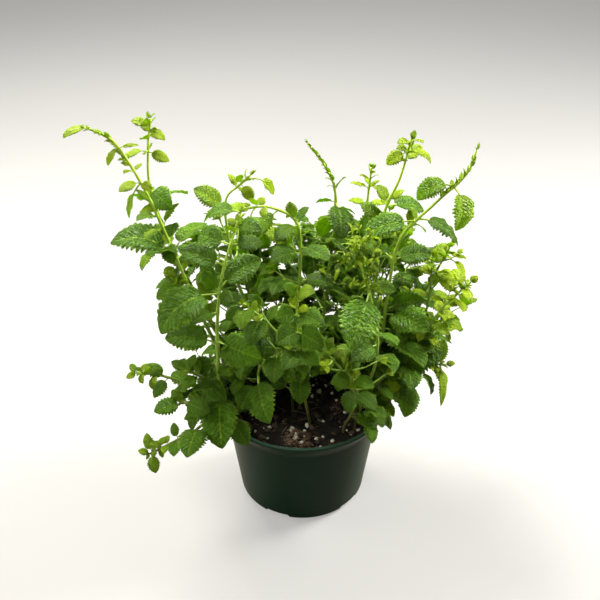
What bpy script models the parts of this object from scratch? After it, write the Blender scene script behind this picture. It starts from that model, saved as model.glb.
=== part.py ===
"""Potted mint plant: a nursery pot, its potting mix and a bush of arching shoots with opposite leaves.

Metres, +Z up. The origin is on the table under the middle of the pot, and -Y is the front.
Run with blender --background --python part.py, or from Blender's text editor.
"""

import math

import bmesh
import bpy
from mathutils import Matrix, Vector

MM = 0.001

# The pot, a shallow 15 cm nursery pot moulded in one piece
RIM_RADIUS = 75 * MM
POT_HEIGHT = 98 * MM
LIP_HEIGHT = 3.2 * MM
LIP_OVERHANG = 1.4 * MM
COLLAR_HEIGHT = 15 * MM
COLLAR_FOOT_RADIUS = 66.8 * MM
COLLAR_STEP = 0.7 * MM
FOOT_RADIUS = 54.5 * MM
FOOT_ROUNDING = 5 * MM
WALL = 1.5 * MM
POT_STEPS = 56

# Drainage notches through the foot's edge
NOTCHES = 5
NOTCH_WIDTH = 22 * MM
NOTCH_HEIGHT = 4 * MM
NOTCH_DEPTH = 12 * MM
FIRST_NOTCH_DEG = -113.5

# The potting mix
SOIL_TOP = 86 * MM
SOIL_GAP = 0.3 * MM
SOIL_STEPS = 40
SOCKET_DEPTH = 6 * MM
SOCKET_SIDES = 8
SOCKET_WIDENING = 1.1

# Stems: square in section, thick at the soil and thin at the tip
STEM_RADIUS = 2.1 * MM
TIP_RADIUS = 0.8 * MM
THICK_FROM_LENGTH = 220 * MM
THINNEST_FOOT = 0.6
TAPER_POWER = 1.3
STEM_STEP = 13 * MM
STEM_CLEARANCE = 0.35 * MM
PETIOLE_RADIUS = 0.7 * MM
PETIOLE_POINTS = 3

# Leaves
LARGEST_FROM = 35 * MM
BLADE_THICKNESS = 0.8 * MM
BLADE_GAP = 0.5 * MM
USUAL_ARCH = 0.12
USUAL_WIDTH = 0.72
USUAL_PETIOLE = 0.2
BASE_POWER = 0.5
TIP_POWER = 0.75
BLADE_FOLD = 0.16
LEAST_HALF_WIDTH = 0.5 * MM
OUTWARD_LEAN = 0.5

# Each shoot: the points that its stem passes, in millimetres, the first one on the soil as (x, y),
# then its leaves as (place along the stem from 0 to 1, length, heading, pitch) in millimetres and
# degrees, and where a leaf isn't usual its arch, its width and its petiole's share.
# Heading 0 is +X and -90 is the front; a pitch below 0 hangs down.
SHOOTS = {
    "front_left": (
        [(-53, -26), (-65, -34, 115), (-66, -38, 167), (-63, -36, 212), (-57, -30, 241), (-45, -16, 274)],
        [
            (0.23, 50, -85, -20), (0.27, 26, -140, 15), (0.39, 24, 165, -25), (0.48, 40, -175, 10),
            (0.49, 44, -35, 0), (0.61, 26, -135, 5), (0.69, 52, -155, -25, 0.3), (0.70, 20, 165, 55),
            (0.70, 16, -50, -5), (0.71, 38, 20, 30), (0.80, 34, 175, 20), (0.88, 24, 5, 0),
            (0.88, 34, 140, -5), (0.96, 24, -40, 5), (1.00, 28, -170, -10, 0.28),
        ],
    ),
    "left_low": (
        [(-55, -16), (-74, -28, 128), (-84, -42, 147), (-91, -48, 155)],
        [(0.63, 28, -55, -5), (0.86, 20, -115, 0), (0.94, 16, 80, 25), (0.98, 14, 165, 30)],
    ),
    "left_rim": (
        [(-47, -13), (-72, -36, 118), (-95, -52, 126)],
        [(0.97, 26, -35, 5), (0.98, 24, -160, -5), (0.98, 14, 150, 40)],
    ),
    "upper_trail": (
        [(-57, -6), (-74, -14, 106), (-92, -22, 121), (-110, -28, 134), (-132, -34, 143)],
        [
            (0.54, 24, -70, -5), (0.56, 22, 140, 5), (0.75, 20, -135, -35), (0.77, 20, 170, 30),
            (0.97, 9, 40, 35), (0.97, 10, -70, -25), (0.99, 10, -155, -15), (0.99, 10, 140, 20),
        ],
    ),
    "lower_trail": (
        [(-44, -37), (-68, -52, 112), (-87, -66, 108), (-104, -72, 102), (-119, -76, 95)],
        [
            (0.58, 14, 50, -10), (0.59, 36, -100, 0), (0.77, 18, -95, -5), (0.77, 14, 115, 35),
            (0.93, 15, 70, 5), (0.98, 16, 120, 50), (0.98, 16, -75, -45), (1.00, 10, 180, 20),
        ],
    ),
    "left_arch": (
        [(-44, 12), (-72, 6, 142), (-97, -6, 231), (-113, -12, 287), (-130, -10, 322),
         (-140, -7, 330), (-154, -2, 334)],
        [
            (0.56, 36, -120, 30), (0.57, 50, 178, 12, 0.25), (0.56, 34, 60, -10), (0.66, 20, -120, 0),
            (0.70, 20, -130, 10), (0.74, 16, -160, 50, 0.12, 0.35), (0.80, 17, -160, -15),
            (0.80, 12, -40, -10), (0.80, 30, -125, -55), (0.83, 9, -125, 15), (0.83, 9, 65, 20),
            (0.90, 10, -140, -50), (0.90, 9, 10, 0), (1.00, 14, -160, -10, 0.12, 0.3),
        ],
    ),
    "left_upright": (
        [(-30, 26), (-69, 24, 134), (-98, 16, 215), (-114, 10, 277), (-113, 8, 316), (-108, 8, 342)],
        [
            (0.60, 38, 50, 15), (0.68, 22, 40, 45), (0.76, 32, 45, -5), (0.80, 30, -50, -10),
            (0.91, 13, -165, -10), (0.91, 14, 5, -15), (0.95, 11, 0, -30), (0.96, 8, 180, 25),
            (0.99, 7, 180, 30), (0.99, 7, 0, -20),
        ],
    ),
    "hook": (
        [(-14, 30), (-52, 32, 180), (-61, 34, 239), (-60, 34, 263), (-50, 33, 274), (-40, 34, 283)],
        [
            (0.80, 26, 45, 0), (0.82, 30, 170, 35), (0.95, 16, -30, -50),
            (0.97, 25, -10, -25, 0.3, 0.9, 0.5), (0.99, 7, 20, 35),
        ],
    ),
    "leaning_top": (
        [(-2, 6), (-5, 2, 159), (-2, 0, 217), (-4, 0, 257), (-24, 0, 271), (-44, -4, 272)],
        [
            (0.57, 27, -5, -5), (0.68, 32, -135, 10), (0.70, 32, -50, 5), (0.79, 24, -135, -10),
            (0.80, 15, 30, 45), (0.81, 15, 125, 60), (0.88, 24, -170, -55), (0.99, 8, -160, -30),
        ],
    ),
    "middle_lean": (
        [(-8, -14), (-11, -30, 160), (-25, -36, 189), (-44, -40, 211)],
        [(0.81, 16, 45, 50), (0.86, 30, -105, -10), (0.96, 26, -100, -5), (0.99, 18, -155, -30)],
    ),
    "left_middle": (
        [(-28, -24), (-35, -36, 145), (-17, -46, 171), (-4, -52, 194)],
        [
            (0.39, 34, -115, 0), (0.48, 42, -75, -25), (0.76, 30, -95, -10), (0.82, 28, 180, 5),
            (0.96, 11, 50, 50),
        ],
    ),
    "front_curl": (
        [(6, -34), (-2, -50, 155), (-3, -56, 194), (-5, -54, 231)],
        [
            (0.50, 30, -90, -25), (0.64, 26, -115, 5), (0.64, 26, -55, 10), (0.77, 32, -120, 15),
            (0.77, 32, -55, 10), (0.86, 30, -125, 25), (0.86, 30, -55, 20), (0.97, 18, -140, 50),
            (0.97, 20, -40, 30),
        ],
    ),
    "nodding": (
        [(34, -41), (42, -50, 126), (31, -54, 158), (14, -56, 182)],
        [
            (0.59, 30, -100, -20), (0.74, 18, -105, -20), (0.74, 15, 15, 25), (0.97, 14, -135, 5),
            (0.97, 12, 35, 45),
        ],
    ),
    "thin_front": (
        [(44, -34), (46, -52, 124), (38, -56, 152), (33, -58, 165)],
        [(0.85, 22, -45, 10), (0.87, 22, -140, 15), (1.00, 13, 120, 50)],
    ),
    "rim_right": (
        [(55, -20), (63, -27, 111), (61, -30, 128)],
        [
            (0.59, 17, -120, -35, 0.12, 0.9), (0.59, 19, -45, -20, 0.12, 0.8),
            (0.92, 19, 180, -5, 0.12, 0.8), (0.92, 18, -5, 5),
        ],
    ),
    "curled_top": (
        [(44, -22), (56, -34, 143), (57, -40, 183), (49, -42, 222), (38, -40, 256)],
        [(0.53, 28, -140, -5), (0.59, 26, -60, 10), (0.80, 50, -110, -25), (0.82, 20, -5, 0)],
    ),
    "right_arch": (
        [(48, 4), (64, 2, 144), (68, -2, 200), (74, -6, 247), (98, -10, 280), (117, -10, 301),
         (124, -6, 319)],
        [
            (0.29, 52, -55, 0), (0.30, 27, 165, 15), (0.38, 44, -45, 5), (0.40, 32, 0, 15),
            (0.58, 26, 0, 20), (0.58, 36, 140, 5), (0.61, 18, 10, 55, 0.12, 0.35), (0.73, 33, 180, -15),
            (0.73, 11, 115, 60), (0.74, 36, -25, -25, 0.2), (0.88, 25, 180, -20, 0.35),
            (0.88, 27, -75, -60, 0.4),
        ],
    ),
    "right_outer": (
        [(58, -6), (80, -4, 122), (98, -10, 166), (113, -18, 200)],
        [
            (0.39, 40, -10, 30), (0.45, 32, -85, -10), (0.72, 21, 135, 40), (0.78, 22, -55, 5),
            (0.86, 15, -10, 5), (0.98, 9, 25, 45),
        ],
    ),
    "right_low": (
        [(58, 3), (87, -4, 115), (105, -10, 132), (118, -14, 136)],
        [
            (0.55, 38, -95, -20), (0.73, 26, -75, -15), (0.84, 25, 40, 50), (0.85, 21, -45, -35),
            (0.94, 34, -90, -50, 0.12, 0.3), (0.98, 9, -5, 10),
        ],
    ),
    "right_upright": (
        [(32, 20), (58, 26, 173), (63, 24, 249), (74, 20, 286), (80, 18, 317)],
        [
            (0.70, 23, 155, 35), (0.76, 36, 25, -15), (0.77, 17, 140, 50), (0.78, 15, 10, 35),
            (0.96, 17, -175, -30, 0.2), (0.96, 18, -15, -10, 0.25), (0.96, 10, 130, 5),
            (0.96, 12, 15, 15), (1.00, 10, 175, 0), (1.00, 8, 40, 65),
        ],
    ),
    "right_tuft": (
        [(52, 28), (95, 26, 128), (106, 28, 172), (106, 30, 213)],
        [
            (0.75, 17, 160, 15), (0.75, 20, 25, -10), (0.85, 12, 5, 25), (0.89, 12, 160, 20),
            (0.98, 8, 35, 55),
        ],
    ),
    "right_bright": (
        [(56, 14), (97, 8, 140), (118, 12, 177), (136, 14, 198)],
        [
            (0.81, 18, -160, 30), (0.87, 20, -75, -5), (0.90, 19, 150, 25), (0.95, 16, -85, -10),
            (0.96, 18, 140, 40), (0.99, 9, 15, 40, 0.12, 0.9),
        ],
    ),
    "far_right": (
        [(34, 48), (98, 70, 136), (123, 84, 174), (133, 90, 194)],
        [
            (0.60, 36, 60, 5), (0.62, 32, -20, -5), (0.84, 14, 160, 20), (0.92, 15, 160, 15),
            (0.94, 12, -20, -15), (0.99, 8, 15, 45),
        ],
    ),
    "back_spire": (
        [(12, 34), (22, 46, 181), (27, 52, 253), (18, 52, 282), (4, 50, 302)],
        [
            (0.70, 30, 140, -60), (0.73, 17, -10, -15), (0.75, 36, -85, -25), (0.75, 16, 180, 0),
            (0.79, 15, 25, 50),
        ],
    ),
    "pale_spire": (
        [(26, 42), (52, 56, 165), (53, 62, 230), (56, 64, 276)],
        [
            (0.76, 26, -135, -5), (0.84, 16, 170, 10), (0.84, 16, -5, 5), (0.91, 16, 170, 15),
            (0.91, 11, 10, 35), (0.99, 6, 15, 45),
        ],
    ),
    "back_left": (
        [(-30, 46), (-44, 68, 142), (-64, 90, 190), (-78, 100, 228)],
        [
            (0.30, 38, 175, 0), (0.48, 40, 100, 5), (0.50, 36, -150, 10), (0.66, 32, 170, 5),
            (0.67, 30, 10, 0), (0.80, 24, 80, 15), (0.81, 22, -80, 15), (0.90, 16, 180, 25),
            (0.91, 14, 20, 20), (0.98, 8, 100, 50),
        ],
    ),
    "back_middle": (
        [(4, 54), (6, 80, 142), (2, 98, 182), (-5, 108, 209)],
        [
            (0.32, 40, 150, -5), (0.33, 36, 20, 5), (0.50, 40, 90, -10), (0.52, 30, -60, 5),
            (0.68, 30, 175, 5), (0.69, 30, 0, 10), (0.82, 22, 95, 15), (0.83, 18, -90, 15),
            (0.92, 14, 0, 25), (0.92, 14, 175, 20), (0.98, 8, 90, 50),
        ],
    ),
    "back_right": (
        [(42, 40), (62, 68, 134), (82, 90, 172), (98, 100, 200)],
        [
            (0.35, 36, 120, -10), (0.36, 34, -10, 0), (0.55, 36, 65, -5), (0.56, 28, -160, 10),
            (0.72, 26, 130, 5), (0.73, 26, -30, 0), (0.86, 18, 50, 20), (0.86, 16, -130, 20),
            (0.96, 10, 100, 30),
        ],
    ),
    "back_low": (
        [(-48, 34), (-76, 62, 120), (-102, 84, 138), (-122, 92, 136)],
        [
            (0.40, 36, -170, 0), (0.42, 32, 80, 0), (0.65, 30, 120, 5), (0.66, 28, -130, -10),
            (0.85, 18, 90, 0), (0.86, 16, -150, 0), (0.98, 12, 160, -10),
        ],
    ),
}

POT_GREEN = (0.022, 0.050, 0.028, 1)
SOIL_BROWN = (0.028, 0.018, 0.012, 1)
STEM_GREEN = (0.18, 0.30, 0.06, 1)
LEAF_GREEN = (0.07, 0.22, 0.015, 1)


def clear_scene():
    for thing in list(bpy.data.objects):
        bpy.data.objects.remove(thing)


def new_collection(name):
    collection = bpy.data.collections.new(name)
    bpy.context.scene.collection.children.link(collection)
    return collection


def new_material(name, colour, roughness):
    material = bpy.data.materials.new(name)
    material.use_nodes = True
    shader = material.node_tree.nodes["Principled BSDF"]
    shader.inputs["Base Color"].default_value = colour
    shader.inputs["Roughness"].default_value = roughness
    shader.inputs["Metallic"].default_value = 0
    return material


def new_object(name, data, material, collection):
    thing = bpy.data.objects.new(name, data)
    data.materials.append(material)
    collection.objects.link(thing)
    return thing


def hide_as_cutter(thing):
    thing.hide_render = True
    thing.display_type = "WIRE"


def add_boolean(thing, other, operation):
    cut = thing.modifiers.new(operation.title(), "BOOLEAN")
    cut.operation = operation
    cut.object = other
    cut.solver = "EXACT"
    return cut


def turned(name, profile, steps, material, collection):
    """A solid turned about Z from (radius, height) points that run down its outer side."""
    mesh = bpy.data.meshes.new(name)
    points = [(radius, 0, height) for radius, height in profile]
    edges = [(i, i + 1) for i in range(len(points) - 1)]
    mesh.from_pydata(points, edges, [])
    thing = new_object(name, mesh, material, collection)
    screw = thing.modifiers.new("Turn", "SCREW")
    screw.steps = steps
    screw.render_steps = steps
    screw.use_merge_vertices = True
    screw.merge_threshold = 0.00005
    screw.use_smooth_shade = True
    return thing


def arc(centre, radius, start, end, count):
    """Points of a round corner in the profile plane, from one angle to the other, in degrees."""
    angles = [math.radians(start + (end - start) * i / count) for i in range(count + 1)]
    return [(centre[0] + radius * math.cos(a), centre[1] + radius * math.sin(a)) for a in angles]


def wall_radius(height):
    """Outer radius of the pot's plain wall."""
    top = POT_HEIGHT - COLLAR_HEIGHT
    return FOOT_RADIUS + (COLLAR_FOOT_RADIUS - COLLAR_STEP - FOOT_RADIUS) * height / top


def make_pot(material, collection, cutters):
    collar_foot = POT_HEIGHT - COLLAR_HEIGHT
    lip_foot = POT_HEIGHT - LIP_HEIGHT
    collar_top_radius = RIM_RADIUS - LIP_OVERHANG
    inner_rounding = FOOT_ROUNDING - WALL
    rounding_middle = wall_radius(FOOT_ROUNDING) - FOOT_ROUNDING
    floor_corner = arc((rounding_middle, FOOT_ROUNDING), inner_rounding, -90, 0, 3)
    lip_middle = (RIM_RADIUS - LIP_HEIGHT / 2, POT_HEIGHT - LIP_HEIGHT / 2)
    profile = [
        (0, WALL),
        *floor_corner,
        (wall_radius(collar_foot) - WALL, collar_foot),
        (COLLAR_FOOT_RADIUS - WALL + COLLAR_STEP, collar_foot + WALL),
        (collar_top_radius - WALL, lip_foot),
        *arc(lip_middle, LIP_HEIGHT / 2, 150, -60, 5),
        (collar_top_radius, lip_foot - COLLAR_STEP),
        (COLLAR_FOOT_RADIUS + COLLAR_STEP, collar_foot + WALL),
        (COLLAR_FOOT_RADIUS, collar_foot),
        (wall_radius(collar_foot), collar_foot - COLLAR_STEP),
        *arc((rounding_middle, FOOT_ROUNDING), FOOT_ROUNDING, 0, -90, 4),
        (0, 0),
    ]
    pot = turned("pot", profile, POT_STEPS, material, collection)
    for number in range(NOTCHES):
        turn = math.radians(FIRST_NOTCH_DEG + 360 / NOTCHES * number)
        bpy.ops.mesh.primitive_cube_add(size=1)
        cutter = bpy.context.object
        cutter.name = f"notch_{number + 1}"
        cutter.location = Vector((FOOT_RADIUS, 0, 0))
        cutter.location.rotate(Matrix.Rotation(turn, 3, "Z"))
        cutter.rotation_euler.z = turn
        cutter.scale = (NOTCH_DEPTH, NOTCH_WIDTH, NOTCH_HEIGHT * 2)
        for owner in list(cutter.users_collection):
            owner.objects.unlink(cutter)
        cutters.objects.link(cutter)
        hide_as_cutter(cutter)
        add_boolean(pot, cutter, "DIFFERENCE")
    return pot


def make_soil(material, collection, cutters):
    """The potting mix fills the pot to its top level, with a socket round each stem."""
    side = WALL + SOIL_GAP
    floor = WALL + SOIL_GAP
    corner = NOTCH_HEIGHT + SOIL_GAP
    collar_foot = POT_HEIGHT - COLLAR_HEIGHT
    foot_radius = FOOT_RADIUS - NOTCH_DEPTH / 2 - SOIL_GAP
    soil = turned(
        "soil",
        [
            (0, SOIL_TOP),
            (wall_radius(collar_foot) - side, SOIL_TOP),
            (wall_radius(collar_foot) - side, collar_foot),
            (wall_radius(FOOT_ROUNDING + WALL) - side, FOOT_ROUNDING + WALL),
            (foot_radius, corner),
            (foot_radius, floor),
            (0, floor),
        ],
        SOIL_STEPS,
        material,
        collection,
    )
    for name, (points, _) in SHOOTS.items():
        bpy.ops.mesh.primitive_cylinder_add(
            vertices=SOCKET_SIDES,
            radius=STEM_RADIUS * SOCKET_WIDENING + STEM_CLEARANCE,
            depth=SOCKET_DEPTH * 2,
            location=(points[0][0] * MM, points[0][1] * MM, SOIL_TOP),
        )
        cutter = bpy.context.object
        cutter.name = f"socket_{name}"
        for owner in list(cutter.users_collection):
            owner.objects.unlink(cutter)
        cutters.objects.link(cutter)
        hide_as_cutter(cutter)
        add_boolean(soil, cutter, "DIFFERENCE")
    return soil


def stem_points(points):
    """The stem's own points in metres: it stands upright in its socket, then leans."""
    x, y = points[0]
    foot = Vector((x, y, 0)) * MM
    below = foot + Vector((0, 0, SOIL_TOP - SOCKET_DEPTH + STEM_CLEARANCE))
    above = foot + Vector((0, 0, SOIL_TOP + SOCKET_DEPTH))
    return [below, above, *(Vector(point) * MM for point in points[1:])]


def smooth_path(points, step):
    """Points about a step apart along a Catmull-Rom curve through the given ones."""
    ends = [points[0] * 2 - points[1], *points, points[-1] * 2 - points[-2]]
    path = []
    for a, b, c, d in zip(ends, ends[1:], ends[2:], ends[3:]):
        count = max(1, round((c - b).length / step))
        for i in range(count):
            t = i / count
            bend = (c - a) * t + (a * 2 - b * 5 + c * 4 - d) * t**2 + (b * 3 - a - c * 3 + d) * t**3
            path.append(b + bend / 2)
    path.append(points[-1])
    return path


def along(path, share):
    """The point at a share of the path's length."""
    lengths = [(b - a).length for a, b in zip(path, path[1:])]
    left = share * sum(lengths)
    for a, b, length in zip(path, path[1:], lengths):
        if left <= length:
            return a.lerp(b, left / length)
        left -= length
    return path[-1]


def tube(name, path, radii, material, collection):
    """A closed mesh tube of square section along a path."""
    curve = bpy.data.curves.new(name, "CURVE")
    curve.dimensions = "3D"
    curve.bevel_depth = 1
    curve.bevel_resolution = 0
    curve.use_fill_caps = True
    spline = curve.splines.new("POLY")
    spline.points.add(len(path) - 1)
    for point, place, radius in zip(spline.points, path, radii):
        point.co = (*place, 1)
        point.radius = radius
    guide = bpy.data.objects.new(name, curve)
    collection.objects.link(guide)
    shape = guide.evaluated_get(bpy.context.evaluated_depsgraph_get())
    mesh = bpy.data.meshes.new_from_object(shape)
    matrix = guide.matrix_world.copy()
    bpy.data.objects.remove(guide)
    mesh.name = name
    work = bmesh.new()
    work.from_mesh(mesh)
    bmesh.ops.remove_doubles(work, verts=work.verts, dist=0.00001)
    bmesh.ops.recalc_face_normals(work, faces=work.faces)
    work.to_mesh(mesh)
    work.free()
    mesh.materials.clear()
    thing = new_object(name, mesh, material, collection)
    thing.matrix_world = matrix
    return thing


class Leaf:
    """Where one leaf's midrib runs, from the stem's axis to the leaf's tip."""

    def __init__(self, start, length, heading, pitch, arch=USUAL_ARCH, width=USUAL_WIDTH,
                 petiole=USUAL_PETIOLE):
        self.start = start
        self.length = length * MM
        heading, pitch = math.radians(heading), math.radians(pitch)
        level = math.cos(pitch)
        self.along = Vector((level * math.cos(heading), level * math.sin(heading), math.sin(pitch)))
        middle = start + self.along * self.length / 2
        facing = Vector((middle.x, middle.y, 0)).normalized() * OUTWARD_LEAN + Vector((0, 0, 1))
        self.up = (facing - self.along * facing.dot(self.along)).normalized()
        self.side = self.up.cross(self.along)
        self.arch = arch
        self.half_width = width * self.length * (1 - petiole) / 2
        self.petiole = petiole

    def midrib(self, share):
        rise = 4 * self.arch * share * (1 - share)
        return Vector((self.length * share, 0, self.length * rise))

    def matrix(self):
        """From the leaf's own axes, X along it and Z out of its face, to the world."""
        turn = Matrix((self.along, self.side, self.up)).transposed()
        return Matrix.Translation(self.start) @ turn.to_4x4()


def outline(share):
    """Half width of a blade at a share of its length, 1 at its widest."""
    widest = BASE_POWER / (BASE_POWER + TIP_POWER)
    most = widest**BASE_POWER * (1 - widest) ** TIP_POWER
    return share**BASE_POWER * (1 - share) ** TIP_POWER / most


def make_blade(name, leaf, material, collection):
    """A thin blade: a grid shaped to the leaf's outline, arch and fold, then thickened."""
    work = bmesh.new()
    bmesh.ops.create_grid(work, x_segments=6, y_segments=2, size=1)
    first = leaf.petiole + BLADE_GAP / leaf.length
    for vertex in work.verts:
        share = (vertex.co.x + 1) / 2
        across = vertex.co.y * max(leaf.half_width * outline(share), LEAST_HALF_WIDTH)
        place = leaf.midrib(first + (1 - first) * share)
        vertex.co = place + Vector((0, across, abs(across) * BLADE_FOLD))
    mesh = bpy.data.meshes.new(name)
    work.to_mesh(mesh)
    work.free()
    blade = new_object(name, mesh, material, collection)
    blade.matrix_world = leaf.matrix()
    thicken = blade.modifiers.new("Thickness", "SOLIDIFY")
    thicken.thickness = BLADE_THICKNESS
    thicken.offset = 0
    blade.data.shade_smooth()
    return blade


def make_petioles(name, leaves, material, cutters):
    """One hidden mesh of all the petioles that a stem carries."""
    parts = []
    for number, leaf in enumerate(leaves):
        shares = [leaf.petiole * i / PETIOLE_POINTS for i in range(PETIOLE_POINTS + 1)]
        path = [leaf.matrix() @ leaf.midrib(share) for share in shares]
        radii = [PETIOLE_RADIUS] * len(path)
        parts.append(tube(f"{name}_{number}", path, radii, material, cutters))
    work = bmesh.new()
    for part in parts:
        work.from_mesh(part.data)
        bpy.data.objects.remove(part)
    mesh = bpy.data.meshes.new(name)
    work.to_mesh(mesh)
    work.free()
    petioles = new_object(name, mesh, material, cutters)
    hide_as_cutter(petioles)
    return petioles


def make_shoot(name, points, leaf_rows, materials, collection, cutters):
    """A stem with the petioles of its largest leaves joined to it, and those leaves' blades."""
    path = smooth_path(stem_points(points), STEM_STEP)
    length = sum((b - a).length for a, b in zip(path, path[1:]))
    foot_radius = STEM_RADIUS * max(THINNEST_FOOT, min(1, length / THICK_FROM_LENGTH))
    last = len(path) - 1
    radii = [foot_radius + (TIP_RADIUS - foot_radius) * (i / last) ** TAPER_POWER for i in range(last + 1)]
    stem = tube(f"stem_{name}", path, radii, materials["stem"], collection)
    leaves = [Leaf(along(path, row[0]), *row[1:]) for row in leaf_rows if row[1] * MM >= LARGEST_FROM]
    if leaves:
        petioles = make_petioles(f"petioles_{name}", leaves, materials["stem"], cutters)
        join = add_boolean(stem, petioles, "UNION")
        join.use_self = True
    for number, leaf in enumerate(leaves):
        make_blade(f"leaf_{name}_{number + 1}", leaf, materials["leaf"], collection)


def main():
    clear_scene()
    plant = new_collection("potted_mint")
    cutters = new_collection("cutters")
    materials = {
        "pot": new_material("pot_plastic", POT_GREEN, 0.4),
        "soil": new_material("potting_mix", SOIL_BROWN, 0.95),
        "stem": new_material("green_stem", STEM_GREEN, 0.6),
        "leaf": new_material("green_leaf", LEAF_GREEN, 0.5),
    }
    make_pot(materials["pot"], plant, cutters)
    make_soil(materials["soil"], plant, cutters)
    for name, (points, leaf_rows) in SHOOTS.items():
        make_shoot(name, points, leaf_rows, materials, plant, cutters)


main()
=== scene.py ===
"""Potted mint plant: the look of its pot, potting mix, stems and toothed leaves."""

import math
import random

import bmesh
import bpy
import numpy as np
from mathutils import Matrix, Vector, noise


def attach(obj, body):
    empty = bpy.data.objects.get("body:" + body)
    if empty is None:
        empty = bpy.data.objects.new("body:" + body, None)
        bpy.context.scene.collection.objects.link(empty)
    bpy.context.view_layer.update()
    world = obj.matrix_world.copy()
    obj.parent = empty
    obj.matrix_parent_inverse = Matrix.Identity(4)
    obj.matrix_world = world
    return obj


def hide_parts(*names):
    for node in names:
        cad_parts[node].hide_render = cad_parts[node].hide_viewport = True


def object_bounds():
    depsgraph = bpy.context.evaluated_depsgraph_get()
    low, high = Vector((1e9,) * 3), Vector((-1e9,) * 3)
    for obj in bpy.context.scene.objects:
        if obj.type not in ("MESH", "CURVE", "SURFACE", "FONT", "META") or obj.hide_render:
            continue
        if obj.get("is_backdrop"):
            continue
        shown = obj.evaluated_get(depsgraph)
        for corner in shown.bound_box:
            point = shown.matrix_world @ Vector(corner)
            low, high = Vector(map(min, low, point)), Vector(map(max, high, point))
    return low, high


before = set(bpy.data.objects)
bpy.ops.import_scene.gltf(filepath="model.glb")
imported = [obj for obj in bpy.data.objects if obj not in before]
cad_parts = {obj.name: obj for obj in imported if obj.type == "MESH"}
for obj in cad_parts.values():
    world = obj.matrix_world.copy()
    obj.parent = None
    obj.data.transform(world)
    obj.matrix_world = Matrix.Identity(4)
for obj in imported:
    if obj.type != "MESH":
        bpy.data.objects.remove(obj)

CAD_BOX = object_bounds()
MM = 0.001

# The pot
RIM_RADIUS = 75 * MM
POT_HEIGHT = 98 * MM
LIP_HEIGHT = 3.2 * MM
LIP_OVERHANG = 1.4 * MM
COLLAR_HEIGHT = 15 * MM
COLLAR_FOOT_RADIUS = 66.8 * MM
COLLAR_STEP = 1.0 * MM
FOOT_RADIUS = 54.5 * MM
FOOT_ROUNDING = 5 * MM
WALL = 1.5 * MM
POT_STEPS = 160
NOTCHES = 5
NOTCH_SIZE = (12 * MM, 22 * MM, 10 * MM)
NOTCH_ROUNDING = 2 * MM
FIRST_NOTCH_DEG = -113.5

# The potting mix
SOIL_TOP = 86 * MM
SOIL_RADIUS = 64 * MM
SOIL_RINGS = 46
SOIL_SPOKES = 120
SOIL_LUMP = 3.9 * MM
SOIL_MOUND = 2 * MM
SOIL_SINK = 3 * MM
SOIL_FLOOR_RADIUS = FOOT_RADIUS - 6.5 * MM
GRAINS = 84
BARK_CHIPS = 110
FIBRES = 60
TANGLE_FIBRES = 110
TANGLE_RADIUS = 11 * MM
TANGLE_RISE = 3 * MM
TANGLE_PLACE = (-4 * MM, -50 * MM)

# Stems
STEM_RADIUS = 2.1 * MM
TIP_RADIUS = 0.8 * MM
THICK_FROM_LENGTH = 220 * MM
SOCKET_DEPTH = 6 * MM
STEM_STEP = 4 * MM
STEM_CLEARANCE = 0.35 * MM
PETIOLE_RADIUS = 0.75 * MM
SPRIG_RADIUS = 0.9 * MM
SPRIG_TIP_RADIUS = 0.36 * MM
PETIOLE_POINTS = 4
PETIOLE_FROM = 7 * MM
FULL_PETIOLE_FROM = 34 * MM
NODE_SWELLING = 0.3
NODE_REACH = 2.2 * MM

# Leaves
USUAL_ARCH = 0.12
USUAL_WIDTH = 0.72
USUAL_PETIOLE = 0.2
BASE_POWER = 0.46
TIP_POWER = 0.66
OUTWARD_LEAN = 0.5
FRONT_LEAN = 0.36
BLADE_THICKNESS = 0.3 * MM
EDGE_CURL = 0.14
VEIN_PAIRS = 7
VEIN_SLANT = 2.6
TOOTH_LEAN = 1.3
# Each blade: faces along it and across it, teeth on a side, and their depth against the width there
BLADES = {"large": (60, 6, 11, 0.26), "middle": (36, 4, 8, 0.3), "small": (15, 4, 5, 0.3)}
LARGE_FROM = 24 * MM
MIDDLE_FROM = 13 * MM
# How the blades differ: roll and twist, and from least to most their fold, waves and ruffle
ROLL = 0.16
TWIST = 0.22
FOLDS = (0.10, 0.30)
WAVES = (2.0, 3.4)
RUFFLES = (0.03, 0.08)
INTERNODE = 14 * MM
SPRIG_CHANCE = 0.75
SPRIG_LENGTHS = (18, 44)
SPRIG_LEAF_LENGTHS = (26, 19)
SPRIG_LEAVES_AT_LEAST = 4
LONG_SPRIG_REACH = 1.45
LONG_SPRIG_LEAF = 1.3
TUFT_LEAVES = 140
# A tip's pairs of leaves: how many, the length of stem that carries them, and from the lowest pair to
# the top one their lengths in millimetres and their angles to the stem, then their width
SPIKE_PAIRS = (11, 44 * MM, (8, 5), (26, 10), 0.5)
BUD_PAIRS = (4, 16 * MM, (12, 5), (72, 30), 0.7)
# Leaves low in the bush are darker than their age says, and stems high in it are younger
SHADED_BELOW = 130 * MM
SHADE_RUN = 80 * MM
SHADE_TONE = 0.6
YOUNG_STEM_FROM = 190 * MM
YOUNG_STEM_RUN = 140 * MM
YOUNG_STEM_TONE = 0.75

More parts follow.
